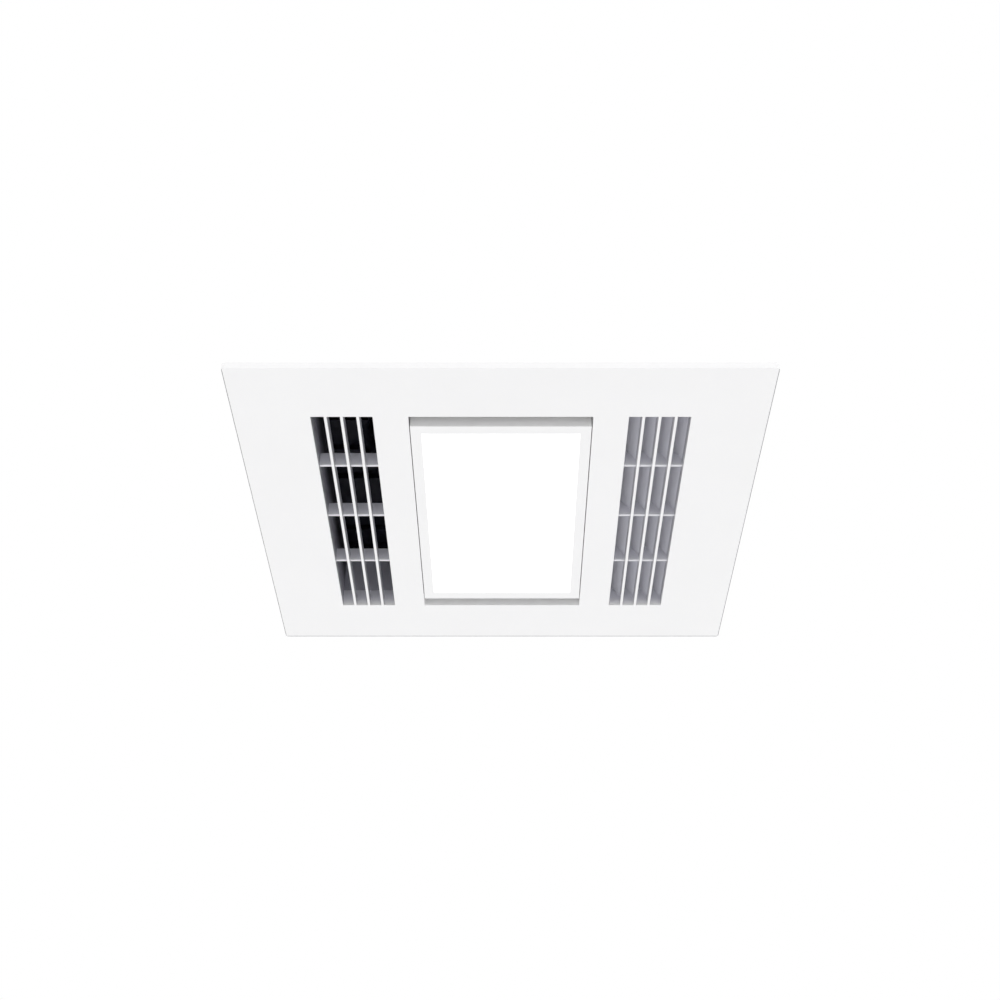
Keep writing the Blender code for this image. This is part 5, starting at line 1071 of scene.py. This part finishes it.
def make_driver():
    """A seam under the lid, and a row of vents in each long side between the tabs."""
    low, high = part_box("led_driver")
    low.x += DRIVER_TAB
    high.x -= DRIVER_TAB
    middle, level = (low.x + high.x) / 2, low.z + VENT_LEVEL
    depth = 1.2 * MM
    shapes = grooves_round(low, high, high.z - DRIVER_LID, height=DRIVER_SEAM, depth=0.5 * MM)
    for i in range(-VENTS_EACH_WAY, VENTS_EACH_WAY + 1):
        x = middle + i * VENT_PITCH
        for near, far in ((low.y - CLEAR, low.y + depth), (high.y - depth, high.y + CLEAR)):
            shapes.append(block((x - VENT_HALF_WIDTH, near, level - VENT_HALF_HEIGHT),
                                (x + VENT_HALF_WIDTH, far, level + VENT_HALF_HEIGHT)))
    worked("led_driver", cut=shapes)


def make_terminal_block():
    """Two slotted screws in wells for each way, and an entry for a wire under each."""
    low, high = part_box("terminal_block")
    middle = (low + high) / 2
    pitch = (high.x - low.x) / TERMINAL_WAYS
    slot = Vector((TERMINAL_SLOT_HALF, 2.3 * MM, 0))
    up = Vector((0, 0, 1))
    shapes = []
    for i in range(TERMINAL_WAYS):
        x = low.x + (i + 0.5) * pitch
        for side in (-1, 1):
            place = Vector((x, middle.y + side * TERMINAL_SCREW_OUT, high.z))
            wall = Vector((x, high.y if side > 0 else low.y, low.z + TERMINAL_ENTRY_LEVEL))
            shapes += [groove_ring(TERMINAL_HEAD, TERMINAL_WELL, 1.6 * MM, place, up),
                       drill(radius=2.5 * MM, depth=0.4 * MM, place=place, axis=up),
                       block(place - slot - up * MM, place + slot + up * CLEAR),
                       drill(TERMINAL_ENTRY, depth=3 * MM, place=wall, axis=(0, side, 0))]
    worked("terminal_block", cut=shapes)


def make_exhaust_motor():
    """Vents in the upper cup, and a crimped seam round the middle."""
    x, y, z = node_middle("exhaust_motor")
    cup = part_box("exhaust_motor")[1].z - 4.5 * MM
    axis = (0, 0, 1)
    worked("exhaust_motor",
           raised=[raised_ring(radius=42 * MM, half=1.6 * MM, rise=0.9 * MM,
                               place=(x, y, z + 2 * MM), axis=axis)],
           cut=radial_slots((x, y, cup), axis, 1.2 * MM, *EXHAUST_SPOKES))


def make_heater_motor():
    """Vents in the end, and grooves where the stack's sheets show."""
    x, y, z = node_middle("heater_motor")
    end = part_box("heater_motor")[1].y - 3 * MM
    axis = (0, 1, 0)
    first, pitch, count = y - 7 * MM, 2 * MM, 8
    stack = [groove_ring(inner=28.6 * MM, outer=31 * MM, depth=0.4 * MM,
                         place=(x, first + pitch * i, z), axis=axis) for i in range(count)]
    worked("heater_motor", cut=[*stack, *radial_slots((x, end, z), axis, 1 * MM, *HEATER_SPOKES)])


def make_plug():
    """Four grooves round it, for the fingers."""
    low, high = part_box("led_plug")
    first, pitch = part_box("led_socket")[0].z - 2.2 * MM, 1.3 * MM
    shapes = []
    for i in range(4):
        shapes += grooves_round(low, high, first - pitch * i, height=0.5 * MM, depth=0.3 * MM)
    worked("led_plug", cut=shapes)


def make_cutout():
    """A round groove and a dimple in its face."""
    low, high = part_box("thermal_cutout")
    middle = (low + high) / 2
    place = (low.x, middle.y, middle.z)
    axis = (-1, 0, 0)
    worked("thermal_cutout", cut=[
        groove_ring(CUTOUT_RING - CUTOUT_RING_HALF, CUTOUT_RING + CUTOUT_RING_HALF,
                    depth=0.5 * MM, place=place, axis=axis),
        drill(radius=1.2 * MM, depth=0.6 * MM, place=place, axis=axis),
    ])


def make_worked():
    make_housing()
    make_duct()
    make_terminal_box()
    make_capacitor()
    make_driver()
    make_terminal_block()
    make_exhaust_motor()
    make_heater_motor()
    make_plug()
    make_cutout()


# Camera, floor and light


def make_camera():
    data = bpy.data.cameras.new("camera")
    data.lens = 56.77
    data.sensor_width = 36
    data.shift_x = -0.0076
    camera = put("camera", data)
    camera.location = (0.0051, -1.0885, -0.70475)
    camera.rotation_euler = (math.radians(123.43), 0, 0)
    bpy.context.scene.camera = camera


def add_stage(name, bm, material):
    """A sheet of the stage, with this shape and material."""
    mesh = mesh_of(bm, name)
    mesh.materials.append(material)
    put(name, mesh)


def make_floor():
    """A pale floor a room's height below."""
    side, level = 40, -2.4
    made = Shader("pale_floor", (0.93, 0.93, 0.93), 0.8)
    made.tint(made.noise(0.4, detail=3), 0.99, 1.01)
    bm = bmesh.new()
    bmesh.ops.create_grid(bm, x_segments=1, y_segments=1, size=side / 2)
    bmesh.ops.translate(bm, vec=(0, 0, level), verts=bm.verts)
    add_stage("floor", bm, made.material)


def add_mix(tree, share, first, second):
    mix = tree.nodes.new("ShaderNodeMixShader")
    for socket, value in zip(mix.inputs, (share, first, second)):
        tree.links.new(value, socket)
    return mix.outputs[0]


def make_ceiling():
    """The underside of the ceiling, with its opening.

    It is white from below, where it hides the housing, and open from above.
    """
    material = bpy.data.materials.new("ceiling_underside")
    material.use_nodes = True
    tree = material.node_tree
    tree.nodes.clear()
    seen = add_node(tree, "ShaderNodeLightPath").outputs["Is Camera Ray"]
    under = add_node(tree, "ShaderNodeNewGeometry").outputs["Backfacing"]
    clear = add_node(tree, "ShaderNodeBsdfTransparent").outputs[0]
    white = add_node(tree, "ShaderNodeEmission", Strength=1).outputs[0]
    surface = add_mix(tree, add_math(tree, "MULTIPLY", seen, under), clear, white)
    add_node(tree, "ShaderNodeOutputMaterial", Surface=surface)

    low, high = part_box("housing")
    ledge = 14 * MM
    opening = (high.x - low.x) / 2 - ledge
    reach, level = 20, 0.2 * MM
    bm = bmesh.new()
    near, far = [[bm.verts.new((x * half, y * half, level))
                  for x, y in ((-1, -1), (1, -1), (1, 1), (-1, 1))] for half in (opening, reach)]
    for i in range(4):
        j = (i + 1) % 4
        bm.faces.new((near[i], far[i], far[j], near[j]))
    bmesh.ops.recalc_face_normals(bm, faces=bm.faces)
    if bm.faces[0].normal.z < 0:
        bmesh.ops.reverse_faces(bm, faces=bm.faces)
    add_stage("ceiling", bm, material)


WORLD_STRENGTH = 1.1
WORLD_COLOUR = (0.997, 0.997, 1.006, 1)


def make_world():
    """White to the camera and in reflections, and a softer white as a light."""
    world = bpy.data.worlds.new("studio")
    bpy.context.scene.world = world
    world.use_nodes = True
    tree = world.node_tree
    tree.nodes.clear()
    path = add_node(tree, "ShaderNodeLightPath").outputs
    seen = add_math(tree, "MAXIMUM", path["Is Camera Ray"], path["Is Glossy Ray"])
    seen = add_math(tree, "MAXIMUM", seen, path["Is Transmission Ray"])
    soft = add_node(tree, "ShaderNodeBackground", Color=WORLD_COLOUR, Strength=WORLD_STRENGTH)
    white = add_node(tree, "ShaderNodeBackground", Color=(1, 1, 1, 1), Strength=1)
    surface = add_mix(tree, seen, soft.outputs[0], white.outputs[0])
    add_node(tree, "ShaderNodeOutputWorld", Surface=surface)


def make_lamp():
    """One weak lamp, above and to the right of the camera."""
    place, target = Vector((0.9, -0.9, 1.5)), Vector((0, 0, 0.1))
    data = bpy.data.lights.new("overhead", "AREA")
    data.shape = "DISK"
    data.size = 1.6
    data.energy = 3
    lamp = put("overhead", data)
    lamp.location = place
    lamp.rotation_euler = (target - place).to_track_quat("-Z", "Y").to_euler()
    lamp.visible_camera = False


bpy.context.scene.view_settings.view_transform = "Standard"
make_camera()
make_world()
make_floor()
make_ceiling()
make_lamp()
finish_nodes()
make_worked()
make_screws()
make_gland()
